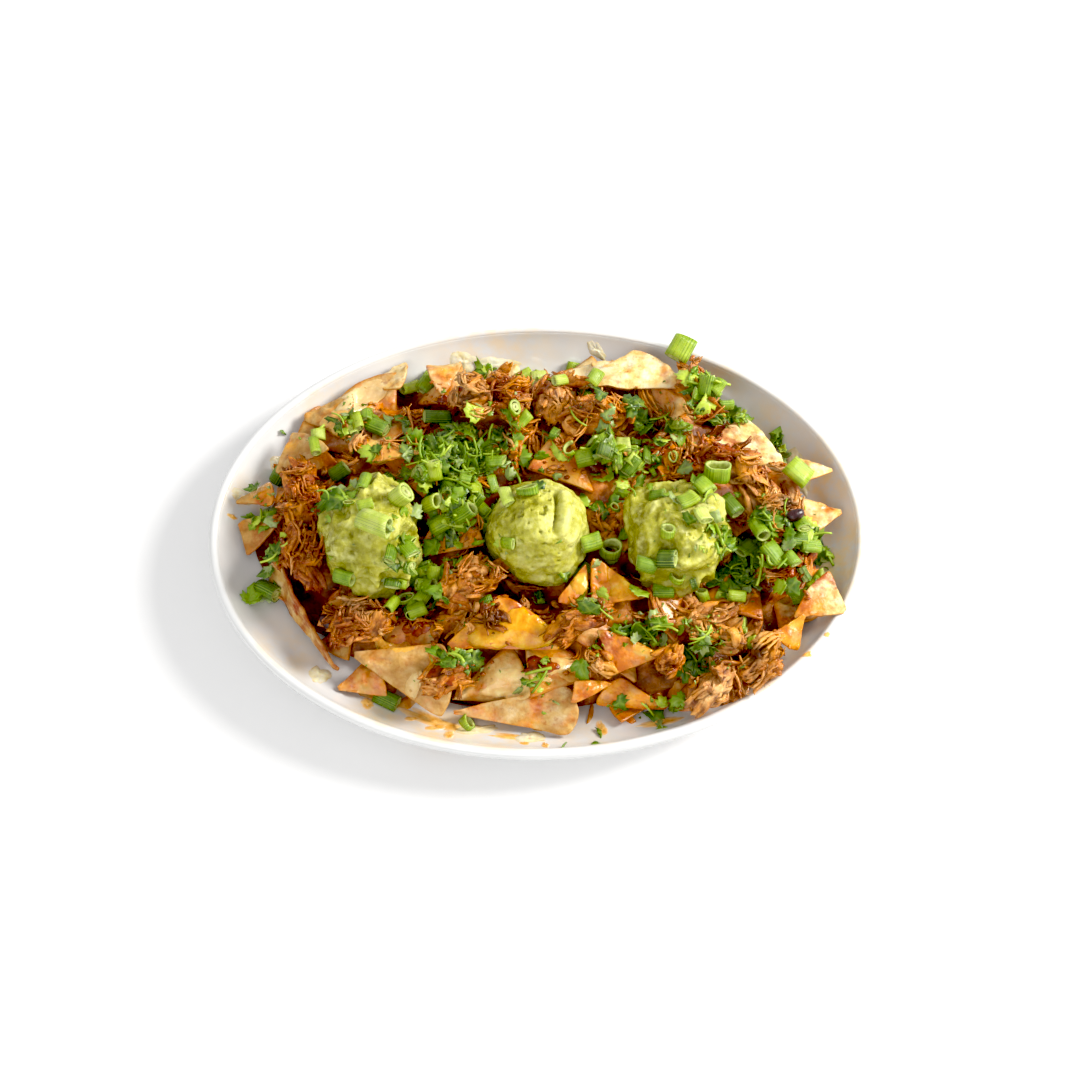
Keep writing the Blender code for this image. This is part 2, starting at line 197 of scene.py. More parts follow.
def arrays_of(mesh):
    """A mesh's points, triangles and point normals as arrays."""
    mesh.calc_loop_triangles()
    points = np.empty(len(mesh.vertices) * 3)
    mesh.vertices.foreach_get("co", points)
    normals = np.empty(len(mesh.vertices) * 3)
    mesh.vertices.foreach_get("normal", normals)
    faces = np.empty(len(mesh.loop_triangles) * 3, np.int32)
    mesh.loop_triangles.foreach_get("vertices", faces)
    return points.reshape(-1, 3), faces.reshape(-1, 3), normals.reshape(-1, 3)


def tree_of(objects):
    """One search tree over the meshes of several objects, which all sit at the origin."""
    verts, faces, count = [], [], 0
    for obj in objects:
        points, triangles, _ = arrays_of(obj.data)
        verts.append(points)
        faces.append(triangles + count)
        count += len(points)
    return BVHTree.FromPolygons(np.concatenate(verts).tolist(), np.concatenate(faces).tolist())


def drop(tree, x, y, top=0.2):
    """Where a vertical line first meets the surface: (point, normal), or None beside it."""
    hit, normal, _, _ = tree.ray_cast(Vector((x, y, top)), Vector((0, 0, -1)))
    if hit is None:
        return None
    return np.array(hit), np.array(normal)


def frames_on(normals, headings, tilts):
    """Rotation rows (x, y, z) for things lying on a surface, headed and tilted by angles."""
    flat = np.stack([np.cos(headings), np.sin(headings), np.zeros(len(headings))], -1)
    z = unit(normals)
    x = unit(flat - (flat * z).sum(-1, keepdims=True) * z)
    y = np.cross(z, x)
    c, s = np.cos(tilts)[:, None], np.sin(tilts)[:, None]
    return np.stack([c * x + s * z, y, c * z - s * x], 1)


# ---------------------------------------------------------------- materials


class Shader:
    """A small helper to write a Principled material's node tree."""

    def __init__(self, name):
        self.material = bpy.data.materials.new(name)
        self.material.use_nodes = True
        self.tree = self.material.node_tree
        self.main = self.tree.nodes["Principled BSDF"]
        self.where = self.add("ShaderNodeTexCoord").outputs["Object"]

    def add(self, kind, links=(), **settings):
        node = self.tree.nodes.new(kind)
        for key, value in settings.items():
            setattr(node, key, value)
        for socket, value in dict(links).items():
            self.put(node.inputs[socket], value)
        return node

    def put(self, socket, value):
        if isinstance(value, bpy.types.NodeSocket):
            self.tree.links.new(value, socket)
        else:
            socket.default_value = value

    def set(self, **values):
        """Sets or links the Principled inputs, whose names hold _ for a space."""
        for key, value in values.items():
            self.put(self.main.inputs[key.replace("_", " ")], value)
        return self

    def number(self, name):
        return self.add("ShaderNodeAttribute", attribute_name=name).outputs["Fac"]

    def noise(self, size, detail=4.0, rough=0.55, where=None, distort=0.0):
        node = self.add(
            "ShaderNodeTexNoise",
            {"Vector": where or self.where, "Scale": 1.0 / size, "Detail": detail,
             "Roughness": rough, "Distortion": distort},
        )
        return node.outputs["Fac"]

    def cells(self, size, feature="F1"):
        node = self.add("ShaderNodeTexVoronoi", {"Vector": self.where, "Scale": 1.0 / size}, feature=feature)
        return node.outputs["Distance"]

    def stretch(self, x, y, z):
        return self.add("ShaderNodeMapping", {"Vector": self.where, "Scale": (x, y, z)}).outputs["Vector"]

    def ramp(self, value, *stops):
        """A colour ramp through (place, colour) stops."""
        node = self.add("ShaderNodeValToRGB", {"Fac": value})
        elements = node.color_ramp.elements
        while len(elements) < len(stops):
            elements.new(0.5)
        for element, (place, colour) in zip(elements, stops):
            element.position = place
            element.color = (*colour, 1.0)
        return node.outputs["Color"]

    def spread(self, value, low, high, to_low=0.0, to_high=1.0):
        """Maps value from low..high to to_low..to_high, clamped."""
        return self.add(
            "ShaderNodeMapRange",
            {"Value": value, "From Min": low, "From Max": high, "To Min": to_low, "To Max": to_high},
        ).outputs["Result"]

    def mix(self, share, first, second, blend="MIX"):
        node = self.add("ShaderNodeMix", data_type="RGBA", blend_type=blend)
        self.put(node.inputs[0], share)
        self.put(node.inputs[6], first if isinstance(first, bpy.types.NodeSocket) else (*first, 1.0))
        self.put(node.inputs[7], second if isinstance(second, bpy.types.NodeSocket) else (*second, 1.0))
        return node.outputs[2]

    def math(self, operation, first, second):
        return self.add("ShaderNodeMath", {0: first, 1: second}, operation=operation).outputs["Value"]

    def bump(self, height, depth, strength=1.0):
        return self.add(
            "ShaderNodeBump", {"Height": height, "Distance": depth, "Strength": strength}
        ).outputs["Normal"]


def glaze_material():
    s = Shader("white_glaze")
    cloud = s.noise(0.035, 3.0)
    base = s.mix(s.spread(cloud, 0.35, 0.65, 0.0, 1.0), (0.73, 0.735, 0.73), (0.77, 0.775, 0.77))
    speck = s.spread(s.cells(0.011), 0.0, 0.022, 0.2, 0.0)
    base = s.mix(speck, base, (0.36, 0.33, 0.28))
    # Real orange oil film, and on the right inner wall also painted warm bounce light from the food.
    oil_film_and_bounce = s.math("MULTIPLY", s.number("oil_film_and_bounce"), s.spread(s.noise(0.011, 4.0, 0.6), 0.35, 0.6))
    base = s.mix(oil_film_and_bounce, base, (0.92, 0.66, 0.30))
    s.set(Base_Color=base, Roughness=s.spread(s.noise(0.004), 0.3, 0.7, 0.08, 0.16), IOR=1.52)
    return s.set(Normal=s.bump(s.noise(0.03, 1.0), 0.0003)).material


def tortilla_material():
    """Fried corn tortilla: tone goes from tan to cream, oil from dry to soaked, rim marks its edge."""
    s = Shader("tortilla")
    tone, oil, dip, rim = s.number("tone"), s.number("oil"), s.number("dip"), s.number("rim")
    mottle = s.noise(0.006, 5.0, 0.6)
    tan = s.ramp(mottle, (0.3, (0.32, 0.125, 0.016)), (0.5, (0.48, 0.23, 0.036)), (0.7, (0.64, 0.37, 0.09)))
    cream = s.ramp(mottle, (0.3, (0.80, 0.42, 0.080)), (0.48, (0.93, 0.68, 0.26)), (0.68, (0.97, 0.86, 0.56)))
    soaked = s.ramp(s.noise(0.009, 4.0), (0.3, (0.44, 0.08, 0.002)), (0.48, (0.74, 0.23, 0.004)),
                    (0.68, (0.90, 0.43, 0.020)))
    wet = s.spread(s.math("ADD", oil, s.spread(s.noise(0.014, 4.0), 0.3, 0.7, -0.5, 0.5)), 0.3, 0.75)
    base = s.mix(wet, s.mix(tone, tan, cream), soaked)
    toast = s.spread(s.noise(0.0035, 3.0, 0.7), 0.60, 0.74, 0.0, 0.6)
    base = s.mix(toast, base, (0.36, 0.11, 0.006))
    # Painted shade: darker brown in the chip's dents and hollows, by the dip number.
    base = s.mix(s.spread(dip, 0.2, 1.0, 0.0, 0.55), base, (0.42, 0.14, 0.010))
    base = s.mix(s.spread(rim, 0.1, 0.8, 0.0, 0.7), base, (0.60, 0.21, 0.012))
    stain = s.math("MULTIPLY", s.number("stain"), s.spread(s.noise(0.007, 5.0, 0.65), 0.40, 0.58))
    base = s.mix(stain, base, (0.36, 0.055, 0.002))
    speck = s.spread(s.cells(0.006), 0.0, 0.06, 0.75, 0.0)
    base = s.mix(s.math("MULTIPLY", speck, wet), base, (0.05, 0.015, 0.005))
    fine = s.math("ADD", s.noise(0.0011, 5.0, 0.7), s.cells(0.0016, "SMOOTH_F1"))
    s.set(Base_Color=base, Roughness=s.spread(wet, 0.0, 1.0, 0.44, 0.24), Specular_IOR_Level=0.5)
    return s.set(Normal=s.bump(fine, 0.00035, 0.8), Coat_Weight=s.spread(wet, 0.2, 1.0, 0.1, 0.6),
                 Coat_Roughness=0.22).material


def pork_material():
    """Shredded roast pork: pale holds light meat, sauce red wet meat, char the burnt ends."""
    s = Shader("pulled_pork")
    pale, sauce, char, dip = s.number("pale"), s.number("sauce"), s.number("char"), s.number("dip")
    strand = s.add("ShaderNodeTexNoise", {"W": s.number("grain"), "Scale": 1.5, "Detail": 3.0, "Roughness": 0.7},
                   noise_dimensions="1D").outputs["Fac"]
    blotch = s.noise(0.0024, 5.0, 0.65)
    fibre = s.math("ADD", s.math("MULTIPLY", blotch, 0.62), s.math("MULTIPLY", strand, 0.38))
    meat = s.ramp(fibre, (0.33, (0.22, 0.042, 0.005)), (0.5, (0.65, 0.215, 0.018)), (0.66, (0.96, 0.54, 0.11)))
    light = s.ramp(fibre, (0.33, (0.54, 0.21, 0.045)), (0.5, (0.84, 0.47, 0.16)), (0.66, (0.96, 0.73, 0.42)))
    red = s.ramp(fibre, (0.33, (0.11, 0.014, 0.002)), (0.5, (0.36, 0.068, 0.008)), (0.66, (0.72, 0.25, 0.026)))
    base = s.mix(pale, meat, light)
    base = s.mix(sauce, base, red)
    oil = s.spread(s.noise(0.012, 3.0), 0.48, 0.62, 0.0, 0.55)
    base = s.mix(oil, base, (0.88, 0.36, 0.010))
    base = s.mix(char, base, (0.040, 0.012, 0.010))
    # Painted shade: dark red-brown where dip marks hollows, grooves and undersides.
    base = s.mix(s.spread(dip, 0.0, 1.0, 0.0, 0.9), base, (0.10, 0.016, 0.001))
    rough = s.spread(s.noise(0.004, 3.0), 0.35, 0.65, 0.15, 0.40)
    s.set(Base_Color=base, Roughness=s.spread(sauce, 0.0, 1.0, rough, 0.10), Specular_IOR_Level=0.5)
    relief = s.math("ADD", s.noise(0.0008, 4.0, 0.7), strand)
    return s.set(Normal=s.bump(relief, 0.0004, 0.9)).material


def cheese_material():
    """Melted cheese: tone goes from orange oily cheese to pale white cheese."""
    s = Shader("melted_cheese")
    tone = s.number("tone")
    blotch = s.noise(0.006, 4.0)
    orange = s.ramp(blotch, (0.3, (0.60, 0.19, 0.004)), (0.5, (0.82, 0.36, 0.012)), (0.7, (0.94, 0.56, 0.05)))
    white = s.ramp(blotch, (0.3, (0.86, 0.70, 0.36)), (0.5, (0.91, 0.82, 0.55)), (0.7, (0.93, 0.89, 0.72)))
    base = s.mix(tone, orange, white)
    base = s.mix(s.spread(s.number("thin"), 0.2, 1.0, 0.0, 0.4), base, (0.78, 0.38, 0.04))
    s.set(Base_Color=base, Roughness=s.spread(s.noise(0.003), 0.35, 0.65, 0.14, 0.30))
    s.set(Subsurface_Weight=0.35, Subsurface_Scale=0.003, Subsurface_Radius=(1.0, 0.7, 0.35))
    return s.set(Normal=s.bump(s.noise(0.0014, 3.0), 0.0003, 0.6)).material


def sauce_material():
    s = Shader("red_sauce")
    blotch = s.noise(0.004, 4.0)
    base = s.ramp(blotch, (0.3, (0.09, 0.010, 0.001)), (0.5, (0.26, 0.036, 0.002)), (0.72, (0.48, 0.11, 0.006)))
    s.set(Base_Color=base, Roughness=s.spread(s.noise(0.003), 0.35, 0.65, 0.08, 0.22))
    s.set(Subsurface_Weight=0.1, Subsurface_Scale=0.002, Subsurface_Radius=(1.0, 0.3, 0.1))
    return s.set(Normal=s.bump(s.noise(0.0012, 3.0), 0.0004, 0.7)).material


def oil_material():
    """Orange cheese oil, paler where it runs thin."""
    s = Shader("orange_oil")
    deep = s.ramp(s.noise(0.003, 3.0), (0.3, (0.80, 0.36, 0.05)), (0.7, (0.92, 0.60, 0.20)))
    base = s.mix(s.spread(s.number("thin"), 0.1, 0.9), deep, (0.92, 0.82, 0.66))
    return s.set(Base_Color=base, Roughness=s.spread(s.noise(0.002), 0.3, 0.7, 0.06, 0.14)).material


def guacamole_material():
    """Mashed avocado: tone goes from browned olive to fresh yellow-green and is also raised towards each scoop's
    right side as painted light, and dip darkens its pits, hollows and foot as painted shade.
    """
    s = Shader("guacamole")
    dip, tone = s.number("dip"), s.number("tone")
    blotch = s.math("ADD", s.noise(0.008, 5.0, 0.6), s.spread(tone, 0.0, 1.0, -0.14, 0.14))
    base = s.ramp(blotch, (0.28, (0.26, 0.235, 0.010)), (0.5, (0.55, 0.530, 0.065)), (0.72, (0.80, 0.785, 0.24)))
    flesh = s.spread(s.noise(0.006, 4.0), 0.52, 0.68, 0.0, 0.6)
    base = s.mix(flesh, base, (0.88, 0.88, 0.36))
    speck = s.spread(s.noise(0.0012, 2.0), 0.68, 0.76, 0.0, 0.4)
    base = s.mix(speck, base, (0.13, 0.19, 0.006))
    # Painted shade: darker olive in pits, hollows and round each scoop's foot.
    base = s.mix(s.spread(dip, 0.0, 1.0, 0.0, 0.5), base, (0.23, 0.22, 0.008))
    s.set(Base_Color=base, Roughness=s.spread(s.noise(0.002), 0.35, 0.65, 0.09, 0.32))
    s.set(Subsurface_Weight=0.2, Subsurface_Scale=0.002, Subsurface_Radius=(0.8, 1.0, 0.3))
    return s.set(Normal=s.bump(s.noise(0.0012, 5.0, 0.65), 0.0006, 1.0)).material


def onion_material():
    """Spring onion: skin green by tone from white to blue-green, with fine ribs and a pale inside."""
    s = Shader("spring_onion")
    tone, inside, around = s.number("tone"), s.number("inside"), s.number("around")
    ribs = s.add("ShaderNodeTexNoise", {"W": around, "Scale": 4.0, "Detail": 4.0, "Roughness": 0.8},
                 noise_dimensions="1D").outputs["Fac"]
    shade = s.math("ADD", tone, s.spread(s.noise(0.006, 3.0), 0.3, 0.7, -0.12, 0.12))
    skin = s.ramp(shade, (0.0, (0.66, 0.74, 0.20)), (0.22, (0.44, 0.56, 0.040)), (0.5, (0.17, 0.32, 0.016)),
                  (0.75, (0.065, 0.165, 0.012)), (1.0, (0.025, 0.080, 0.016)))
    skin = s.mix(s.spread(ribs, 0.46, 0.62, 0.0, 0.65), skin, (0.44, 0.54, 0.06))
    skin = s.mix(s.spread(ribs, 0.46, 0.32, 0.0, 0.75), skin, (0.030, 0.080, 0.003))
    inner = s.ramp(s.noise(0.003), (0.3, (0.36, 0.45, 0.05)), (0.7, (0.74, 0.78, 0.34)))
    base = s.mix(inside, skin, inner)
    s.set(Base_Color=base, Roughness=s.spread(s.noise(0.004), 0.35, 0.65, 0.20, 0.38))
    s.set(Subsurface_Weight=0.15, Subsurface_Scale=0.001, Subsurface_Radius=(0.5, 1.0, 0.2))
    return s.set(Normal=s.bump(ribs, 0.0003, 0.9)).material


def leaf_material():
    """Chopped coriander: tone from dark to fresh, back is the paler underside, vein its ribs."""
    s = Shader("coriander")
    tone, back, vein = s.number("tone"), s.number("back"), s.number("vein")
    face = s.ramp(tone, (0.0, (0.020, 0.058, 0.008)), (0.35, (0.078, 0.170, 0.012)),
                  (0.7, (0.23, 0.38, 0.022)), (1.0, (0.52, 0.64, 0.07)))
    under = s.ramp(tone, (0.0, (0.16, 0.23, 0.07)), (1.0, (0.46, 0.54, 0.26)))
    base = s.mix(back, face, under)
    base = s.mix(s.spread(s.noise(0.0016, 3.0), 0.4, 0.7, 0.0, 0.35), base, (0.24, 0.34, 0.015))
    base = s.mix(s.math("MULTIPLY", vein, 0.5), base, (0.40, 0.52, 0.08))
    s.set(Base_Color=base, Roughness=s.spread(s.noise(0.002), 0.3, 0.7, 0.24, 0.45))
    s.set(Subsurface_Weight=0.15, Subsurface_Scale=0.001, Subsurface_Radius=(0.4, 1.0, 0.2))
    return s.set(Normal=s.bump(s.math("ADD", s.noise(0.0009, 3.0), vein), 0.00025, 0.7)).material


def bean_material():
    s = Shader("black_bean")
    base = s.mix(s.spread(s.noise(0.003), 0.4, 0.7), (0.03, 0.012, 0.014), (0.09, 0.03, 0.03))
    s.set(Base_Color=base, Roughness=s.spread(s.noise(0.002), 0.3, 0.7, 0.2, 0.4))
    return s.set(Normal=s.bump(s.noise(0.002), 0.0003)).material


def floor_material():
    s = Shader("pale_floor")
    base = s.mix(s.spread(s.noise(0.4, 2.0), 0.3, 0.7), (0.90, 0.90, 0.90), (0.93, 0.93, 0.93))
    return s.set(Base_Color=base, Roughness=0.8).material


# ---------------------------------------------------------------- platter

# (inset from the outermost edge, height) in millimetres, rounded over the lip.
PLATTER_INSIDE = ((110.0, 7.2), (75.0, 7.4), (40.0, 8.0), (30.0, 9.3), (24.0, 10.9), (18.5, 13.0),
                  (14.0, 16.0), (10.5, 19.2), (8.0, 22.0), (6.0, 24.9), (4.9, 27.1))
PLATTER_OUTSIDE = ((0.0, 25.4), (0.2, 23.6), (1.8, 20.0), (4.6, 16.4), (8.0, 13.0), (13.0, 9.4), (20.0, 6.0),
                   (28.0, 3.6), (33.0, 2.6), (35.4, 1.6), (36.0, 0.6), (36.6, 0.0), (39.4, 0.0),
                   (40.2, 0.7), (41.6, 2.6), (45.0, 2.8), (110.0, 2.8))
LIP_CENTRE = (2.45, 26.6)
LIP_RADIUS = 2.45
LIP_ARC = (12, 205, 14)
# Where the glaze wears a thin film of orange oil, as (x, y, radius, how strong), in millimetres; the strong spots
# on the right wall also paint warm light bounced from the food.
OIL_FILM_AND_BOUNCE_SPOTS = (
    (150, -12, 24, 0.8), (146, 30, 18, 0.8), (124, 62, 16, 0.45), (94, 88, 14, 0.5), (-126, -62, 16, 0.4),
    (-78, -94, 14, 0.6), (-48, -100, 16, 0.8), (-20, -106, 14, 0.5), (22, -104, 16, 0.35),
    (104, -86, 14, 0.45), (130, -64, 14, 0.4),
    (-148, 22, 12, 0.5), (-110, 78, 14, 0.45), (-20, 104, 30, 0.45),
)
PLATTER_SIDES = 192
PLATTER_BETWEEN = 2


def platter_section():
    """The platter's section: floor and wall, a round lip by a formula, then the outside and foot."""
    start, end, steps = LIP_ARC
    angles = np.radians(np.linspace(start, end, steps))
    lip = [(LIP_CENTRE[0] + LIP_RADIUS * math.cos(a), LIP_CENTRE[1] + LIP_RADIUS * math.sin(a)) for a in angles]
    points = np.array([*PLATTER_INSIDE, *lip, *PLATTER_OUTSIDE])
    padded = np.concatenate([points[:1], points, points[-1:]])
    fine = []
    for a, b, c, d in zip(padded, padded[1:], padded[2:], padded[3:]):
        for t in np.arange(PLATTER_BETWEEN) / PLATTER_BETWEEN:
            slope_b, slope_c = (c - a) / 2, (d - b) / 2
            hermite = ((2 * t**3 - 3 * t**2 + 1) * b + (t**3 - 2 * t**2 + t) * slope_b
                       + (-2 * t**3 + 3 * t**2) * c + (t**3 - t**2) * slope_c)
            near = min(np.linalg.norm(b - a), np.linalg.norm(d - c))
            fine.append(hermite if near > 0.4 * np.linalg.norm(c - b) else b + t * (c - b))
    return np.array([*fine, points[-1]])


def make_platter(material):
    low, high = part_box("platter")
    half_x, half_y = (high.x - low.x) / 2, (high.y - low.y) / 2
    section = platter_section() * MM
    angles = np.arange(PLATTER_SIDES) * 2 * math.pi / PLATTER_SIDES
    inset, height = section[:, :1], section[:, 1:]
    x = (half_x - inset) * np.cos(angles)
    y = (half_y - inset) * np.sin(angles)
    z = np.broadcast_to(height, x.shape)
    verts = np.stack([x, y, z], -1).reshape(-1, 3)
    inside = np.arange(len(section)) < section[:, 1].argmax()
    # The oil film mask, whose right-wall spots also paint warm bounce light from the food.
    oil_film_and_bounce = patches(verts[:, 0], verts[:, 1], OIL_FILM_AND_BOUNCE_SPOTS) * np.repeat(inside, PLATTER_SIDES)
    platter = mesh_object("platter_glazed", verts, tube_faces(len(section), PLATTER_SIDES)[:, ::-1],
                          material, {"oil_film_and_bounce": oil_film_and_bounce})
    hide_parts("platter")
    return platter


# ---------------------------------------------------------------- chips

# How each chip is fried: tone from tan 0 to cream 1, and how far oil has soaked it.
CHIP_LOOKS = {
    "chip_front_left_under": (0.35, 0.5), "chip_front_long": (0.45, 0.4), "chip_front_oily": (0.4, 1.0),
    "chip_front_left_wedge": (0.25, 0.15), "chip_front_left_tall": (0.45, 0.05), "chip_front_small": (0.4, 0.85),
    "chip_centre_front": (0.35, 0.85), "chip_centre_folded": (0.35, 0.8), "chip_centre_left": (0.4, 0.75),
    "chip_centre_right": (0.2, 0.9), "chip_right_low": (0.7, 0.5), "chip_right_curled": (0.5, 0.9),
    "chip_right_orange": (0.7, 0.5), "chip_right_cream": (0.9, 0.2), "chip_back_right": (1.0, 0.1),
    "chip_back_corner": (0.7, 0.2), "chip_back_middle": (0.95, 0.12), "chip_back_left_yellow": (0.8, 0.2),
    "chip_back_left": (0.6, 0.4), "chip_left_tan": (0.1, 0.2), "chip_left_orange": (0.3, 0.5),
    "chip_left_flat": (0.15, 0.25), "chip_left_folded": (0.3, 0.35), "chip_crown_folded": (0.2, 0.8),
}
CHIP_WAVE = ((15 * MM, 1.1 * MM), (7 * MM, 0.4 * MM))
EDGE_WANDER = 0.4 * MM
BLISTER_SIZE = 5.5 * MM
BLISTER_HEIGHT = 1.2 * MM


def fry(points, normals, seed):
    """Blisters and waves a flat piece of tortilla; returns (points, painted shade and rim numbers)."""
    face = main_axes(points)[2]
    outward = normals - (normals @ face)[:, None] * face
    side = np.sign((normals * face).sum(-1, keepdims=True))
    flat = points - (points @ face)[:, None] * face
    wave = layered(flat, CHIP_WAVE, seed)
    puff = smooth_step(0.15, 0.75, noise(flat, BLISTER_SIZE, seed + 5)) * BLISTER_HEIGHT
    dent = smooth_step(0.25, 0.8, noise(flat, BLISTER_SIZE * 0.8, seed + 9)) * BLISTER_HEIGHT * 0.5
    grain = noise(points, 1.3 * MM, seed + 11) * 0.12 * MM
    moved = points + face * (wave + puff - dent)[:, None] + normals * grain[:, None]
    moved += side * face * (0.25 * puff)[:, None]
    moved += outward * (EDGE_WANDER * noise(flat, 8 * MM, seed + 17))[:, None]
    # Painted shade: the dents are darkened, with random darker patches from noise on top.
    depth = np.clip(smooth_step(0.1, 0.9, noise(flat, 3 * MM, seed + 15)) * 0.6 + dent / BLISTER_HEIGHT, 0, 1)
    rim = 1 - np.abs((normals * face).sum(-1))
    return moved, {"dip": depth, "rim": rim}


def stained(points):
    """How far sauce has run over a chip at each point."""
    return np.clip(patches(points[:, 0], points[:, 1], SAUCE_SPOTS) + 0.4 * noise(points, 9 * MM, 77), 0, 1)


def make_chips(material):
    pieces = []
    for k, (node, (tone, oil)) in enumerate(CHIP_LOOKS.items()):
        points, faces, normals = refined(node, simple=1, smooth=2)
        points, numbers = fry(points, normals, 20 * k)
        numbers.update(tone=np.full(len(points), tone), oil=np.full(len(points), oil), stain=stained(points))
        piece = mesh_object(node + "_fried", points, faces, material, numbers)
        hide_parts(node)
        pieces.append(piece)
    return pieces


# Chips buried among the rest: (x, y, lift, side, heading, tilt, roll, tone, oil), in mm and degrees.
BURIED_CHIPS = (
    (-74, 62, 3, 40, 200, 10, 10, 0.5, 0.6), (-112, 38, 2, 36, 160, 12, -10, 0.3, 0.6),
    (-46, 84, 2, 34, 250, 8, 5, 0.6, 0.5), (-4, 92, 2, 36, 170, 14, 6, 0.8, 0.3),
    (22, 84, 4, 38, 10, 10, -8, 0.7, 0.35), (64, 66, 3, 34, 60, 15, 10, 0.6, 0.4),
    (98, 44, 3, 36, 330, 20, -14, 0.8, 0.4), (120, 22, 2, 32, 30, 12, 12, 0.6, 0.6),
    (126, -38, 2, 34, 300, 14, -8, 0.5, 0.7), (100, -34, 2, 34, 240, 10, 14, 0.3, 0.8),
    (70, -46, 3, 38, 200, 18, -12, 0.3, 0.8), (36, -62, 3, 40, 120, 14, 8, 0.4, 0.7),
    (4, -70, 4, 42, 300, 10, -6, 0.4, 0.6), (-22, -80, 2, 40, 20, 8, 10, 0.4, 0.4),
    (-64, -60, 3, 36, 80, 16, -10, 0.2, 0.5), (-92, -44, 2, 34, 140, 14, 12, 0.2, 0.7),
    (-120, -10, 2, 34, 100, 18, -16, 0.2, 0.7), (-126, 14, 2, 30, 60, 12, 8, 0.4, 0.5),
    (-44, -6, 2, 36, 30, 12, 10, 0.2, 0.8), (38, -4, 2, 36, 80, 14, -12, 0.3, 0.8),
    (104, 6, 2, 32, 200, 12, 10, 0.5, 0.6), (14, 30, 2, 36, 140, 10, -10, 0.3, 0.8),
    (-18, 46, 2, 36, 310, 12, 10, 0.3, 0.7), (60, 30, 3, 34, 20, 14, -10, 0.4, 0.7),
    (-84, 20, 2, 30, 180, 14, 12, 0.3, 0.8), (88, -80, 2, 36, 350, 10, -8, 0.4, 0.8),
    (48, -84, 2, 36, 190, 12, 6, 0.5, 0.7), (-62, 34, 4, 36, 340, 16, 14, 0.2, 0.9),
    (42, 97, 4, 18, 262, 4, 6, 0.9, 0.15), (57, 95, 4, 18, 280, 4, -6, 0.9, 0.2),
    (-94, 68, 6, 28, 200, 14, 22, 0.3, 0.75), (-126, 36, 5, 22, 330, 20, -12, 0.1, 0.9),
    (8, 80, 6, 34, 355, 8, -14, 0.6, 0.65), (-22, 86, 5, 24, 280, 8, 8, 0.95, 0.2),
    (-50, -86, 1, 40, 246, 3, 0, 0.3, 0.45), (-14, -92, 1, 34, 265, 3, 4, 0.6, 0.5),
    (32, -90, 1, 34, 280, 4, 4, 0.4, 0.7), (-78, -76, 1, 32, 225, 4, -6, 0.2, 0.4),
    (70, -84, 1, 34, 300, 4, -4, 0.4, 0.8), (-98, -52, 4, 26, 235, -6, 4, 0.2, 0.5),
    (-106, 60, 3, 40, 150, 10, 6, 0.3, 0.45), (-84, 74, 3, 38, 120, 8, 4, 0.4, 0.4),
)
CHIP_CELLS = (22, 18)
CHIP_THICK = 1.5 * MM


def sheet_faces(rows, columns):
    """Triangles of a closed sheet: a grid of top points, the same grid underneath, and its edge."""
    n = rows * columns
    i, j = np.meshgrid(np.arange(rows - 1), np.arange(columns - 1), indexing="ij")
    a = (i * columns + j).ravel()
    top = np.stack([a, a + columns, a + columns + 1, a + 1], -1)
    loop = sheet_edge(rows, columns)
    after = np.roll(loop, -1)
    quads = np.concatenate([top, top[:, ::-1] + n, np.stack([loop, after, after + n, loop + n], -1)])
    return np.concatenate([quads[:, [0, 1, 2]], quads[:, [0, 2, 3]]])


def sheet_edge(rows, columns):
    """The top points round a sheet's edge, in order."""
    return np.concatenate([
        np.arange(columns - 1), np.arange(rows - 1) * columns + columns - 1,
        (rows - 1) * columns + np.arange(columns - 1, 0, -1), np.arange(rows - 1, 0, -1) * columns,
    ])


def sector_sheet(side, angle, bow, seed):
    """A wedge cut from a round tortilla, tip at -X, as a thin closed solid; (points, faces, normals, rim)."""
    rows, columns = CHIP_CELLS
    u, v = np.meshgrid(np.linspace(0.05, 1, rows), np.linspace(-0.5, 0.5, columns), indexing="ij")
    wobble = noise(np.column_stack([u.ravel() * 2, v.ravel() * 2, u.ravel() * 0]), 0.7, seed)
    reach = side * (1 + 0.04 * wobble.reshape(u.shape) * (u > 0.9))
    x, y = u * reach * np.cos(v * angle), u * reach * np.sin(v * angle)
    z = bow * side * (np.cos(v * math.pi) - 0.5) + 0.4 * bow * side * np.sin(u * math.pi)
    z += 0.05 * side * noise(np.column_stack([x.ravel(), y.ravel(), 0 * x.ravel()]), side * 0.45,
                             seed + 1).reshape(z.shape)
    sheet = np.stack([x - 0.6 * side, y, z], -1).reshape(-1, 3)
    points = np.concatenate([sheet, sheet - UP * CHIP_THICK])
    normals = np.repeat(np.array([[0, 0, 1.0], [0, 0, -1.0]]), len(sheet), axis=0)
    rim = np.zeros(len(sheet))
    rim[sheet_edge(rows, columns)] = 1.0
    return points, sheet_faces(rows, columns), normals, np.tile(rim, 2)


def make_buried_chips(material, tree, rng):
    batch = Batch()
    for k, (x, y, lift, side, heading, tilt, roll, tone, oil) in enumerate(BURIED_CHIPS):
        points, faces, normals, rim = sector_sheet(side * MM, rng.uniform(0.75, 1.05), rng.uniform(-0.1, 0.16), k)
        points, numbers = fry(points, normals, 900 + 20 * k)
        numbers["rim"] = rim
        found = drop(tree, x * MM, y * MM)
        lean = unit(0.5 * found[1] + UP)
        rows = frames_on(lean[None], np.radians([heading]), np.radians([tilt]))[0]
        turn = math.radians(roll)
        y_axis = math.cos(turn) * rows[1] + math.sin(turn) * rows[2]
        z_axis = math.cos(turn) * rows[2] - math.sin(turn) * rows[1]
        placed = points @ np.stack([rows[0], y_axis, z_axis]) + found[0] + UP * lift * MM
        batch.add(placed, faces, tone=tone, oil=oil, stain=stained(placed), **numbers)
    return batch.build("chips_buried", material, "tortilla")


# ---------------------------------------------------------------- heap core

CORE_SINK = 3.0 * MM
CORE_ROUGH = ((9 * MM, 2.2 * MM), (4.5 * MM, 1.6 * MM))


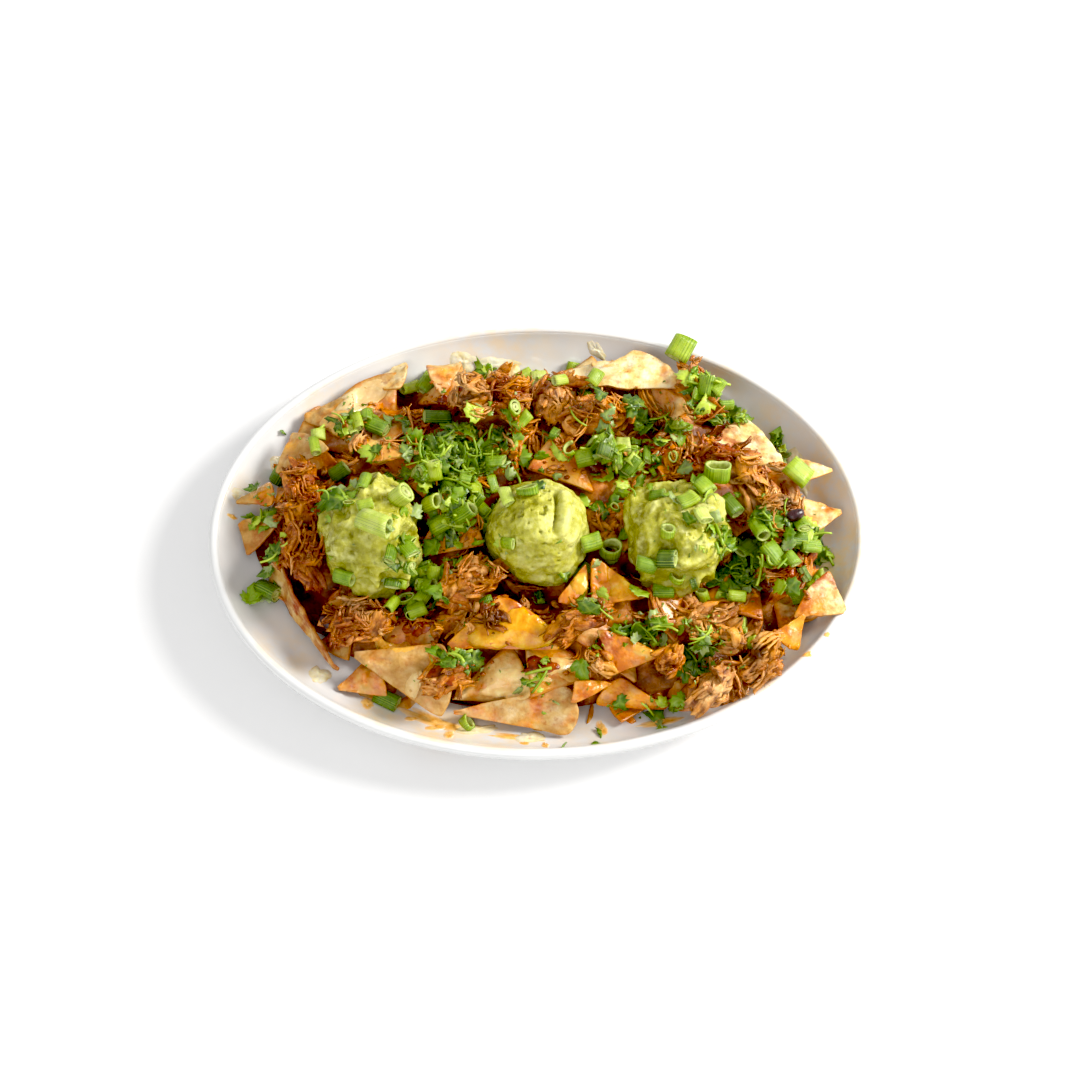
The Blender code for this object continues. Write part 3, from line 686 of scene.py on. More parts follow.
def make_core(material):
    """The pile under everything: the CAD heap a little smaller, rough as packed shreds."""
    points, faces, normals = refined("nacho_heap", simple=0, smooth=2)
    up = np.clip(normals[:, 2], 0, 1)
    relief = layered(points, CORE_ROUGH, 3)
    points = points + normals * (relief * up)[:, None]
    points[:, 2] -= CORE_SINK * up
    # Painted shade: the core is darker in the hollows of its relief.
    dip = np.clip(0.75 - relief / (3 * MM), 0, 1)
    numbers = {"pale": np.zeros(len(points)), "sauce": np.full(len(points), 0.35),
               "char": np.zeros(len(points)), "dip": dip}
    core = mesh_object("heap_core", points, faces, material, numbers)
    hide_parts("nacho_heap")
    return core


# ---------------------------------------------------------------- pulled pork

SAUCE_SPOTS = ((-14, 66, 13, 1.0), (95, 38, 22, 0.95), (133, -28, 20, 0.95), (-133, -5, 14, 0.8),
               (-62, -45, 16, 0.8), (-20, -50, 14, 0.7), (125, 20, 12, 0.6), (60, 40, 14, 0.5),
               (-118, -38, 20, 1.0), (-100, -60, 14, 0.9), (-58, 66, 18, 0.7), (30, -64, 10, 0.7),
               (10, -88, 10, 0.5), (-30, -78, 12, 0.5), (62, -88, 12, 0.5), (0, 20, 22, 0.4),
               (-114, 14, 22, 0.8), (-98, -20, 20, 0.7))
PALE_SPOTS = ((-31, 65, 12, 1.0), (112, 12, 17, 1.0), (84, -64, 20, 0.5), (-30, -42, 12, 0.4), (83, -90, 10, 0.9), (98, 12, 8, 0.9), (100, -56, 12, 0.6),
              (-92, -46, 10, 0.7), (110, -70, 8, 0.6), (28, -78, 7, 0.9), (6, 66, 12, 0.5),
              (-85, -53, 9, 0.6), (72, 45, 14, 0.5), (-106, 0, 8, 0.4), (100, -45, 14, 0.5), (98, -72, 22, 0.65), (66, -58, 16, 0.5))
CHAR_SPOTS = (
    (-21, -53, 9, 0.95), (57, 60, 4, 1.0), (104, -73, 4, 0.9), (27, -51, 4, 0.9), (-38, -20, 6, 0.6),
    (33, -44, 6, 0.8), (123, 2, 4, 0.9), (-88, -45, 8, 0.5), (20, 62, 6, 0.5),
)
CHUNK_FIBRE = (7 * MM, 1.3 * MM)


def meat_numbers(points, dip):
    x, y = points[:, 0], points[:, 1]
    blotch = 0.25 * noise(points, 9 * MM, 41)
    return {
        "pale": np.clip(patches(x, y, PALE_SPOTS) + blotch, 0, 1),
        "sauce": np.clip(patches(x, y, SAUCE_SPOTS) - 0.8 * blotch + 0.12, 0, 1),
        "char": np.clip(patches(x, y, CHAR_SPOTS) + blotch - 0.12, 0, 1),
        "dip": dip,
    }


def make_chunks(material, nodes):
    """Each lump of pork: the CAD lump with fibres that run along it."""
    pieces = []
    for k, node in enumerate(nodes):
        points, faces, normals = refined(node, simple=0, smooth=2, quads=False)
        axes = main_axes(points)
        own = points @ axes.T
        lie = own * np.array([CHUNK_FIBRE[1] / CHUNK_FIBRE[0], 1.0, 1.0])
        ridge = noise(lie, CHUNK_FIBRE[1], 60 + k) + 0.6 * noise(lie, CHUNK_FIBRE[1] / 2, 90 + k)
        lump = noise(own, 5 * MM, 130 + k)
        points = points + normals * (0.8 * MM * ridge + 1.3 * MM * lump)[:, None]
        # Painted shade: darker in the grooves between ridges and lumps.
        dip = smooth_step(0.5, -0.9, ridge + 0.8 * lump)
        numbers = meat_numbers(points, dip)
        numbers["grain"] = own[:, 1] / MM
        piece = mesh_object(node + "_meat", points, faces, material, numbers)
        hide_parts(node)
        pieces.append(piece)
    return pieces


FIBRE_RINGS = 7
FIBRE_SIDES = 5
PATH_POINTS = 6


def walk(tree, spot, heading, length, lift):
    """A smooth path over a surface through spot: (points, directions along it)."""
    step = length / (PATH_POINTS - 1)
    sides = []
    for way in (1, -1):
        point, along, line = spot, way * heading, []
        for _ in range(PATH_POINTS // 2):
            near, normal, _, _ = tree.find_nearest(Vector(point + along * step + UP * lift))
            found = np.array(near)
            found[2] = max(found[2], point[2] - 0.8 * step)
            line.append(found)
            along = unit(found - point + 0.5 * step * along)
            point = found
        sides.append(line)
    line = np.array([*sides[1][::-1], *sides[0]])
    line[1:-1] = (line[:-2] + 2 * line[1:-1] + line[2:]) / 4
    along = unit(np.gradient(line, axis=0))
    return line, along


def lay_fibres(batch, paths, rng, width=(4, 8), thick=(1.0, 1.9), high=(0.8, 2.4), layers=1.0):
    """Bundles of fibres along paths of (points, directions, outward normal, tint)."""
    t = np.linspace(0, 1, FIBRE_RINGS)
    a = np.arange(FIBRE_SIDES) * 2 * math.pi / FIBRE_SIDES
    faces = tube_faces(FIBRE_RINGS, FIBRE_SIDES)
    for line, along, normal, tint in paths:
        out = unit(normal - (along * normal).sum(-1, keepdims=True) * along)
        side = np.cross(out, along)
        wide, tall = rng.uniform(*width) * MM, rng.uniform(*high) * MM
        fine = rng.uniform(*thick) * MM
        many = max(3, int(wide / fine * 1.25 * layers))
        place = np.linspace(-1, 1, many) + rng.normal(0, 0.25 / many, many)
        rise = np.sqrt(np.clip(1 - place**2, 0, 1)) * tall + rng.normal(0, 0.35, many) * MM
        first, last = rng.uniform(-0.12, 0.30, many), rng.uniform(0.70, 1.12, many)
        along_path = first[:, None] + (last - first)[:, None] * t
        at = along_path * (len(line) - 1)
        i = np.clip(at.astype(int), 0, len(line) - 2)
        part = (at - i)[..., None]
        middle = line[i] + (line[i + 1] - line[i]) * part
        blend = np.clip(part, 0, 1)
        cross = side[i] + (side[i + 1] - side[i]) * blend
        lift = out[i] + (out[i + 1] - out[i]) * blend
        stray = (np.abs(2 * t - 1) ** 3) * rng.normal(0, 1.3, many)[:, None] * MM
        sway = 0.5 * MM * np.sin(t * rng.uniform(2, 7, many)[:, None] + rng.uniform(0, 6, many)[:, None])
        curl = np.abs(2 * t - 1) ** 3 * rng.uniform(-0.2, 1.8, many)[:, None] * MM
        middle = middle + cross * (place[:, None] * wide / 2 + sway + stray)[..., None]
        middle = middle + lift * (rise[:, None] + curl)[..., None]
        middle = middle + rng.normal(0, 0.22, middle.shape) * MM
        taper = np.sin(math.pi * np.clip(t, 0.05, 0.95)) ** 0.35 * rng.uniform(0.5, 1.35, (many, len(t)))
        radius = fine * rng.uniform(0.45, 0.85, many)[:, None] * taper
        spin = a + rng.uniform(0, 6.28, many)[:, None, None]
        ring = (cross[:, :, None] * (radius[..., None] * np.cos(spin))[..., None]
                + lift[:, :, None] * (0.7 * radius[..., None] * np.sin(spin))[..., None])
        points = (middle[:, :, None] + ring).reshape(-1, 3)
        step = np.arange(many)[:, None, None] * (FIBRE_RINGS * FIBRE_SIDES)
        # Painted shade: fibres lying lower in a bundle are darker, with random noise added.
        low = np.repeat(np.clip(0.55 - rise / tall, 0, 1), FIBRE_RINGS * FIBRE_SIDES)
        shade = np.repeat(rng.uniform(-0.22, 0.22, many), FIBRE_RINGS * FIBRE_SIDES)
        numbers = tinted(meat_numbers(points, np.clip(0.6 * low + 0.25 * noise(points, 3 * MM, 7), 0, 1)),
                         tint + shade)
        batch.add(points, (faces[None] + step).reshape(-1, 3), **numbers)


def tinted(numbers, tint):
    """Meat made paler, or redder where tint is below 0."""
    numbers["pale"] = np.clip(numbers["pale"] + tint, 0, 1)
    numbers["sauce"] = np.clip(numbers["sauce"] - tint, 0, 1)
    return numbers


# Where shredded pork lies, as (x, y, radius, how thickly), in millimetres.
SHRED_SPOTS = (
    (-112, 8, 26, 1.0), (-86, -50, 20, 0.9), (-28, -40, 24, 1.0), (-45, -82, 12, 0.7), (20, -56, 15, 0.9),
    (84, -66, 30, 1.0), (40, -30, 18, 0.7), (115, -10, 24, 0.9), (95, 34, 26, 1.0), (30, 58, 30, 1.0),
    (-16, 66, 26, 1.0), (-100, 50, 18, 0.6), (-70, 66, 16, 0.5), (66, 30, 16, 0.7), (36, 5, 14, 0.8),
    (-38, 5, 14, 0.7), (-60, 40, 20, 0.4), (132, -30, 14, 0.8),
)
# Chips that stay bare of it, as (x, y, radius, how bare).
BARE_SPOTS = (
    (-72, -72, 15, 1.2), (-24, -94, 13, 1.2), (-6, -92, 13, 1.2), (8, -96, 11, 1.2), (-6, -62, 11, 1.0),
    (-32, -64, 8, 0.8), (20, -40, 9, 1.2), (37, -42, 10, 1.2), (40, -70, 13, 1.0), (44, -87, 11, 0.9),
    (46, 90, 17, 1.4), (110, 47, 15, 1.2), (-112, 64, 15, 1.3), (-121, 43, 10, 1.0), (142, -40, 11, 1.4),
    (146, 4, 11, 1.4), (144, 28, 10, 1.4), (-118, -45, 9, 1.2), (-142, 20, 10, 1.2), (-140, 0, 9, 1.2),
    (124, -58, 9, 0.9), (-80, 88, 12, 1.2), (-46, 88, 8, 1.0), (-84, -78, 10, 1.2),
)
HEAP_LOW, HEAP_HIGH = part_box("nacho_heap")
HEAP_FLAKES = 300
CHUNK_FLAKES = 7
FLAKE_CELLS = (9, 8)
HEAP_BUNDLES = 85
CHUNK_BUNDLES = 3
STRAYS = 110
CRUMBS = 520
# Sauced grains in a patch of sauce 20 mm in radius.
GRAINS = 170


def heap_spot(tree, rng, least=0.0):
    """A random place where pork lies, as (spot, normal)."""
    while True:
        x, y = rng.uniform(HEAP_LOW.x, HEAP_HIGH.x), rng.uniform(HEAP_LOW.y, HEAP_HIGH.y)
        found = drop(tree, x, y)
        chance = least + patches(x, y, SHRED_SPOTS) - patches(x, y, BARE_SPOTS)
        if found and found[1][2] > 0.15 and rng.random() < chance:
            return found


def make_bundles(material, tree, rng):
    """Torn bundles of pork that lie over the heap."""
    batch = Batch()
    paths = []
    for _ in range(HEAP_BUNDLES):
        spot, normal = heap_spot(tree, rng, 0.2)
        turn = rng.uniform(0, 2 * math.pi)
        heading = np.array([math.cos(turn), math.sin(turn), 0])
        line, along = walk(tree, spot, heading, rng.uniform(9, 20) * MM, 1.5 * MM)
        out = unit(normal + UP * 0.8 + rng.normal(0, 0.3, 3))
        paths.append((line + out * rng.uniform(-0.4, 0.8) * MM, along, out, rng.uniform(-0.3, 0.3)))
    lay_fibres(batch, paths, rng)
    return batch.build("pork_bundles", material, "pulled_pork")


def make_chunk_fibres(material, chunks, rng):
    """The torn fibres that each lump of pork is made of, along its length."""
    batch = Batch()
    for chunk in chunks:
        points, _, normals = arrays_of(chunk.data)
        tree = tree_of([chunk])
        axis = main_axes(points)[0]
        upper = np.flatnonzero(normals[:, 2] > -0.25)
        paths = []
        for i in rng.choice(upper, CHUNK_BUNDLES, replace=False):
            heading = unit(axis + rng.normal(0, 0.22, 3))
            line, along = walk(tree, points[i], heading, rng.uniform(9, 17) * MM, 0.0)
            paths.append((line, along, unit(normals[i] + 0.3 * UP), rng.uniform(-0.2, 0.2)))
        lay_fibres(batch, paths, rng, high=(0.5, 1.4))
    return batch.build("pork_chunk_fibres", material, "pulled_pork")


def make_strays(material, tree, rng):
    """Single loose shreds."""
    batch = Batch()
    paths = []
    for _ in range(STRAYS):
        spot, normal = heap_spot(tree, rng, 0.1)
        turn = rng.uniform(0, 2 * math.pi)
        line, along = walk(tree, spot, np.array([math.cos(turn), math.sin(turn), 0]),
                           rng.uniform(8, 18) * MM, 1.5 * MM)
        out = unit(normal + UP)
        paths.append((line + out * 0.8 * MM, along, out, rng.uniform(-0.3, 0.4)))
    lay_fibres(batch, paths, rng, width=(1.0, 2.5), thick=(0.7, 1.3), high=(0.2, 1.2))
    return batch.build("pork_strays", material, "pulled_pork")


def bent(points, curve, axis):
    """Bends a shape that lies flat, along X (axis 0) or Y (axis 1), to a curvature."""
    angle = points[:, axis] * curve
    radius = 1 / curve - points[:, 2]
    moved = points.copy()
    moved[:, axis] = radius * np.sin(angle)
    moved[:, 2] = 1 / curve - radius * np.cos(angle)
    return moved


def flake_shape(length, width, thick, rng):
    """A torn flake of meat along X: ridged along its fibres, ragged at its ends, bent and twisted."""
    rows, columns = FLAKE_CELLS
    u, v = np.meshgrid(np.linspace(-1, 1, rows), np.linspace(-1, 1, columns), indexing="ij")
    ragged = 1 + rng.normal(0, 0.14, (2, columns))
    x = 0.5 * length * u * np.where(u < 0, ragged[0], ragged[1])
    y = 0.5 * width * v * (1 - rng.uniform(0.1, 0.6) * u**2)
    own = np.column_stack([0.3 * x.ravel(), y.ravel(), np.full(x.size, rng.uniform(0, 0.5))])
    y = y + 0.5 * MM * noise(own, 2.5 * MM, 5).reshape(x.shape)
    ridge = (noise(own, 1.5 * MM, 6) + 0.5 * noise(own, 0.8 * MM, 7)).reshape(x.shape)
    body = thick * (1 - 0.8 * v**4) * (1 - 0.85 * np.abs(u) ** 3)
    lump = 1.2 * MM * noise(own * (2.5, 1, 1), 3.5 * MM, 8).reshape(x.shape)
    top = np.stack([x, y, lump + 0.5 * body + 0.5 * MM * ridge], -1).reshape(-1, 3)
    under = np.stack([x, y, lump - 0.5 * body + 0.2 * MM * ridge - 0.15 * MM], -1).reshape(-1, 3)
    points = bent(np.concatenate([top, under]), rng.normal(0, 60) + 1e-3, 0)
    points = bent(points, rng.normal(0, 110) + 1e-3, 1)
    angle = points[:, 0] / length * rng.normal(0, 0.9)
    y, z = points[:, 1], points[:, 2]
    points = np.column_stack([points[:, 0], y * np.cos(angle) - z * np.sin(angle),
                              y * np.sin(angle) + z * np.cos(angle)])
    # Painted shade: darker in the grooves between ridges, and on the underside.
    dip = np.concatenate([smooth_step(0.25, -0.9, ridge).ravel(), np.full(x.size, 0.6)])
    return points, sheet_faces(rows, columns), {"grain": np.tile(own[:, 1] / MM, 2), "dip": dip}


def add_flake(batch, spot, normal, heading, size, tint, rng):
    length = rng.uniform(*size) * MM
    points, faces, numbers = flake_shape(length, rng.uniform(0.35, 0.8) * length,
                                         rng.uniform(1.3, 3.2) * MM, rng)
    lean = unit(normal + 0.5 * UP + rng.normal(0, 0.5, 3))
    rows = frames_on(lean[None], np.array([heading]), rng.normal(0, 0.35, 1))[0]
    placed = points @ rows + spot + unit(normal) * rng.uniform(-0.4, 1.8) * MM
    meat = tinted(meat_numbers(placed, numbers["dip"]), tint)
    batch.add(placed, faces, grain=numbers["grain"], **meat)


def make_flakes(material, tree, chunks, rng):
    """Torn flakes of meat, over the heap and over each lump along its length."""
    batch = Batch()
    for _ in range(HEAP_FLAKES):
        spot, normal = heap_spot(tree, rng, 0.06)
        add_flake(batch, spot, normal, rng.uniform(0, 2 * math.pi), (6, 14), rng.uniform(-0.35, 0.35), rng)
    for chunk in chunks:
        points, _, normals = arrays_of(chunk.data)
        axis = main_axes(points)[0]
        reach = np.ptp(points @ axis) / MM
        heading = math.atan2(axis[1], axis[0])
        upper = np.flatnonzero(normals[:, 2] > -0.1)
        for i in rng.choice(upper, int(CHUNK_FLAKES * reach / 20), replace=False):
            add_flake(batch, points[i], normals[i], heading + rng.normal(0, 0.35), (0.32 * reach, 0.6 * reach),
                      rng.uniform(-0.3, 0.2), rng)
    return batch.build("pork_flakes", material, "pulled_pork")


def crumb_shapes(rng, kinds=8, detail=2):
    """Lumpy little solids about 1 across."""
    bm = bmesh.new()
    bmesh.ops.create_icosphere(bm, subdivisions=detail, radius=0.5)
    points = np.array([v.co[:] for v in bm.verts])
    faces = np.array([[v.index for v in f.verts] for f in bm.faces])
    bm.free()
    shapes = []
    for k in range(kinds):
        rough = 1 + layered(points, ((0.5, 0.35), (0.22, 0.2)), 700 + k)
        shapes.append(points * rough[:, None] * rng.uniform((0.8, 0.5, 0.3), (1.6, 1.0, 0.7)))
    return shapes, faces


def make_crumbs(material, tree, rng):
    """Crumbs of meat and crust in the gaps, and sauced grains where the sauce lies."""
    batch = Batch()
    shapes, faces = crumb_shapes(rng, detail=1)
    for x, y, radius, strength in SAUCE_SPOTS:
        for _ in range(int(GRAINS * strength * (radius / 20) ** 2)):
            found = drop(tree, (x + rng.normal(0, 0.5) * radius) * MM, (y + rng.normal(0, 0.5) * radius) * MM)
            if not found:
                continue
            at = found[0]
            bare = patches(at[0], at[1], BARE_SPOTS) + patches(at[0], at[1], UNTOPPED_SPOTS)
            if rng.random() > 0.3 + bare and math.hypot(at[0] / TOPPED_OVAL[0], at[1] / TOPPED_OVAL[1]) < 0.9:
                spot, normal = found
                size = rng.uniform(1.3, 3.0) * MM
                placed = shapes[rng.integers(len(shapes))] * size + spot + normal * 0.15 * size
                # Painted shade: each sauced grain is slightly darkened by a constant amount.
                numbers = meat_numbers(placed, np.full(len(placed), 0.15))
                batch.add(placed, faces, **tinted(numbers, rng.uniform(-0.9, 0.0)))
    shapes, faces = crumb_shapes(rng)
    for _ in range(CRUMBS):
        spot, normal = heap_spot(tree, rng, 0.35)
        size = rng.uniform(1.2, 3.0) * MM
        rows = frames_on(unit(normal + rng.normal(0, 0.5, 3))[None], rng.uniform(0, 6.28, 1), np.zeros(1))[0]
        placed = (shapes[rng.integers(len(shapes))] * size) @ rows + spot + normal * 0.2 * size
        # Painted shade: crumbs in the gaps are darkened, more or less at random.
        dip = np.clip(0.3 + 0.4 * noise(placed, 1.5 * MM, 3), 0, 1)
        batch.add(placed, faces, **tinted(meat_numbers(placed, dip), rng.uniform(-0.5, 0.3)))
    return batch.build("pork_crumbs", material, "pulled_pork")


# ---------------------------------------------------------------- melted cheese and sauce

DRAPE_RINGS = 8
DRAPE_SIDES = 32

# Melted cheese, as (x, y, reach along x, reach along y, turn, thickness, tone), in mm and degrees.
CHEESE_SPOTS = (
    (-10, -58, 26, 12, 8, 1.0, 0.0), (4, -60, 9, 7, 0, 1.0, 0.15), (-14, -82, 18, 9, 6, 0.7, 0.35),
    (-56, -84, 10, 9, 20, 0.8, 0.45), (30, -86, 12, 7, 0, 0.9, 0.1), (50, -86, 13, 7, -20, 0.8, 0.05),
    (-22, -94, 16, 7, 4, 0.6, 0.8), (-40, -92, 10, 7, 20, 0.6, 0.7), (62, -90, 9, 5, 10, 0.7, 0.2),
    (18, -78, 10, 6, 0, 0.7, 0.15), (-68, -62, 10, 5, 0, 0.7, 0.1), (8, -74, 9, 6, 20, 0.6, 0.3),
    (-92, 76, 16, 8, 35, 1.0, 0.5), (-50, 86, 16, 8, -10, 1.0, 0.5), (-104, 58, 12, 8, 50, 0.9, 0.2),
    (62, 84, 13, 8, -20, 1.3, 0.95), (24, 88, 22, 8, 8, 1.0, 0.75), (104, 52, 14, 9, -50, 1.0, 0.85),
    (120, 34, 9, 8, 0, 1.0, 0.7), (142, 16, 8, 8, 0, 0.9, 0.6), (140, -36, 9, 9, 0, 0.9, 0.5),
    (40, -38, 8, 8, 30, 0.8, 0.0), (56, -66, 12, 7, 15, 0.9, 0.1), (20, -38, 6, 8, 0, 0.8, 0.05),
    (-78, 36, 12, 8, -10, 1.0, 0.15), (48, 20, 12, 8, 0, 1.0, 0.2), (-124, 44, 9, 8, 30, 0.9, 0.3),
    (-96, -78, 9, 6, -30, 0.9, 0.5), (-120, -48, 10, 7, -60, 0.8, 0.6),
)

# Thick red sauce, in the same terms without the tone.
SAUCE_POOLS = (
    (-14, 72, 13, 8, 0, 1.3), (94, 34, 18, 9, -12, 1.4), (86, 22, 10, 7, 0, 1.2), (134, -26, 14, 9, -20, 1.4),
    (118, -34, 10, 7, 0, 1.2), (-134, -8, 8, 9, 0, 1.0), (-58, -50, 9, 7, 0, 1.0), (-48, -84, 8, 9, 0, 1.0),
    (-46, 70, 12, 6, 0, 1.1), (60, 48, 12, 7, 0, 1.1), (70, -84, 13, 6, 0, 0.9), (0, -74, 12, 5, 0, 0.9),
)


DRAPE_FALL = 1.8 * MM


def stopped_at_edges(px, py, top):
    """Draws the points of each spoke in to where the surface under it falls away."""
    px, py, top = px.reshape(top.shape).copy(), py.reshape(top.shape).copy(), top.copy()
    for k in range(1, len(top)):
        fallen = top[k] < top[k - 1] - DRAPE_FALL
        top[k:, fallen] = top[k - 1, fallen] - np.linspace(0.1, 0.9, len(top) - k)[:, None] * MM
        for line in (px, py):
            step = line[k, fallen] - line[k - 1, fallen]
            line[k:, fallen] = line[k - 1, fallen] + np.linspace(0.02, 0.15, len(top) - k)[:, None] * step
    return px.ravel(), py.ravel(), top


def drape(tree, x, y, wide, deep, turn, thickness, seed):
    """A melted patch that sags over what lies under it, as a closed sheet: (points, faces, thinness)."""
    r = np.linspace(0, 1, DRAPE_RINGS + 1)[1:, None]
    a = np.arange(DRAPE_SIDES)[None] * 2 * math.pi / DRAPE_SIDES
    ring = np.column_stack([np.cos(a[0]), np.sin(a[0]), np.zeros(DRAPE_SIDES)])
    reach = 1 + 0.30 * noise(ring, 0.9, seed) + 0.22 * noise(ring, 0.35, seed + 1)
    local_x, local_y = wide * r * np.cos(a) * reach, deep * r * np.sin(a) * reach
    c, s = math.cos(math.radians(turn)), math.sin(math.radians(turn))
    px = np.append(x + c * local_x - s * local_y, x) * MM
    py = np.append(y + s * local_x + c * local_y, y) * MM
    height = np.full(len(px), np.nan)
    for i, (at_x, at_y) in enumerate(zip(px, py)):
        found = drop(tree, at_x, at_y)
        if found:
            height[i] = found[0][2]
    if np.isnan(height).any():
        return None
    top = height[:-1].reshape(DRAPE_RINGS, DRAPE_SIDES)
    px[:-1], py[:-1], top = stopped_at_edges(px[:-1], py[:-1], top)
    bare = top.copy()
    for _ in range(5):
        around = (np.roll(top, 1, 1) + np.roll(top, -1, 1)) / 2
        across = top.copy()
        across[1:-1] = (top[:-2] + top[2:]) / 2
        top = np.maximum(0.5 * top + 0.25 * around + 0.25 * across, bare - 0.4 * MM)
        top[0] = top[0].mean() * 0.5 + top[0] * 0.5
    body = thickness * MM * (1 - (r ** 3)) - 0.5 * MM * r ** 6
    top = top + body
    z = np.append(top.ravel(), top[0].mean())
    upper = np.stack([px, py, z], -1)
    upper[:, 2] += layered(upper, ((3 * MM, 0.3 * MM), (1.2 * MM, 0.15 * MM)), seed + 4)
    lower = upper - UP * (0.5 * MM + np.append(np.broadcast_to(body, top.shape).ravel() * 0.6, 0)[:, None].clip(0))
    n = len(upper)
    centre = n - 1
    k, i = np.meshgrid(np.arange(DRAPE_RINGS - 1), np.arange(DRAPE_SIDES), indexing="ij")
    p, q = (k * DRAPE_SIDES + i).ravel(), (k * DRAPE_SIDES + (i + 1) % DRAPE_SIDES).ravel()
    i = np.arange(DRAPE_SIDES)
    j = (i + 1) % DRAPE_SIDES
    fan = np.stack([i, j, np.full(DRAPE_SIDES, centre)], -1)
    faces = np.concatenate([fan, np.stack([p, p + DRAPE_SIDES, q], -1),
                            np.stack([q, p + DRAPE_SIDES, q + DRAPE_SIDES], -1)])
    last = (DRAPE_RINGS - 1) * DRAPE_SIDES
    wall = np.concatenate([np.stack([i + last, i + last + n, j + last], -1),
                           np.stack([j + last, i + last + n, j + last + n], -1)])
    thin = np.append(np.broadcast_to(r, top.shape).ravel() ** 3, 0)
    return np.concatenate([upper, lower]), np.concatenate([faces, faces[:, ::-1] + n, wall]), np.tile(thin, 2)


def make_cheese(material, tree):
    batch = Batch()
    for k, (x, y, wide, deep, turn, thickness, tone) in enumerate(CHEESE_SPOTS):
        patch = drape(tree, x, y, wide, deep, turn, thickness, 50 + 7 * k)
        if patch:
            batch.add(*patch[:2], tone=tone, thin=patch[2])
    return batch.build("cheese_melted", material, "melted_cheese")


def make_sauce(material, tree):
    batch = Batch()
    for k, (x, y, wide, deep, turn, thickness) in enumerate(SAUCE_POOLS):
        patch = drape(tree, x, y, wide, deep, turn, thickness, 450 + 7 * k)
        if patch:
            batch.add(*patch[:2])
    return batch.build("sauce_pools", material, "sauce")


# Spilt on the bare platter: cheese, then drops of orange oil, in the terms of CHEESE_SPOTS.
PLATTER_CHEESE = (
    (-22, 103, 15, 4, 2, 0.6, 1.0), (-38, 104, 8, 5, -8, 0.7, 1.0), (33, 108, 7, 3, -40, 0.6, 0.95),
    (137, 36, 5, 16, 14, 0.9, 0.95), (92, 78, 12, 5, -35, 0.7, 0.9), (-133, 44, 6, 7, 20, 0.6, 0.9),
    (-151, 24, 5, 4, 0, 0.5, 0.9), (-5, -106, 8, 4, 0, 0.7, 0.9), (-32, -101, 12, 3.5, 8, 0.7, 0.75),
    (112, -84, 8, 4, 30, 0.6, 0.95), (-108, -72, 6, 6, 30, 0.6, 0.95),
)
PLATTER_OIL = (
    (-50, -97, 24, 4, 338, 0.5), (-12, -106, 16, 2.5, 352, 0.4), (58, -100, 14, 3, 8, 0.4),
    (-84, -88, 4, 5, 0, 0.5), (-50, -100, 7, 2.6, 10, 0.5), (-44, -105, 4, 3, 60, 0.5), (-62, -95, 5, 2, 10, 0.4),
    (-8, -110, 3, 2, 0, 0.4), (2, -112, 2, 3, 0, 0.4), (30, -102, 2.5, 6, 20, 0.4), (110, -80, 4, 2, 40, 0.4),
    (130, -70, 3, 2, 30, 0.4), (140, -60, 2, 1.6, 0, 0.4), (-155, 12, 3, 1.6, 0, 0.4), (148, -40, 1.6, 1.6, 0, 0.4),
)


def make_spills(cheese, oil, platter):
    tree = tree_of([platter])
    batch = Batch()
    for k, (x, y, wide, deep, turn, thickness, tone) in enumerate(PLATTER_CHEESE):
        patch = drape(tree, x, y, wide, deep, turn, thickness, 800 + 7 * k)
        if patch:
            batch.add(*patch[:2], tone=tone, thin=patch[2])
    batch.build("cheese_on_platter", cheese, "melted_cheese")
    batch = Batch()
    for k, (x, y, wide, deep, turn, thickness) in enumerate(PLATTER_OIL):
        patch = drape(tree, x, y, wide, deep, turn, thickness, 950 + 7 * k)
        if patch:
            batch.add(*patch[:2], thin=patch[2])
    batch.build("oil_on_platter", oil, "sauce")


# ---------------------------------------------------------------- guacamole


# Each scoop's roughness: (lumps, crumbs, pits) as parts of a millimetre, and how fresh it is.
SCOOP_LOOKS = {
    "guacamole_left": (5.4, 1.7, 1.2, 0.38), "guacamole_middle": (1.7, 0.85, 1.7, 0.50),
    "guacamole_right": (5.6, 1.6, 1.0, 0.30),
}
CRACK_X, CRACK_BOW = 9.5 * MM, 1.5 * MM


def cracked(points, centre):
    """How far the crack and the smooth ridge beside it move the middle scoop's surface."""
    own = points - centre
    from_crack = own[:, 0] - CRACK_X + CRACK_BOW * (own[:, 1] / (14 * MM)) ** 2
    in_reach = smooth_step(-15 * MM, -9 * MM, own[:, 1]) * smooth_step(13 * MM, 8 * MM, own[:, 1])
    in_reach = in_reach * smooth_step(-4 * MM, 4 * MM, own[:, 2])
    groove = -4.2 * MM * np.exp(-((from_crack / (1.2 * MM)) ** 2))
    ridge = 2.2 * MM * np.exp(-(((from_crack - 4.2 * MM) / (2.8 * MM)) ** 2))
    return (groove + ridge) * in_reach, np.exp(-(((from_crack - 4.2 * MM) / (3.2 * MM)) ** 2)) * in_reach


def onion_frame(node):
    """A tube's own axes with its run first and up last, its size along them, and its centre."""
    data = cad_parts[node].data
    points = np.array([v.co[:] for v in data.vertices])
    axes = main_axes(points)
    own = points @ axes.T
    size = own.max(0) - own.min(0)
    centre = ((own.max(0) + own.min(0)) / 2) @ axes
    tube_axis = tube_axis_of(data, axes)
    order = [tube_axis, *[i for i in range(3) if i != tube_axis]]
    rows = axes[order]
    if rows[2, 2] < 0:
        rows[2] = -rows[2]
    if np.linalg.det(rows) < 0:
        rows[1] = -rows[1]
    return rows, size[order], centre


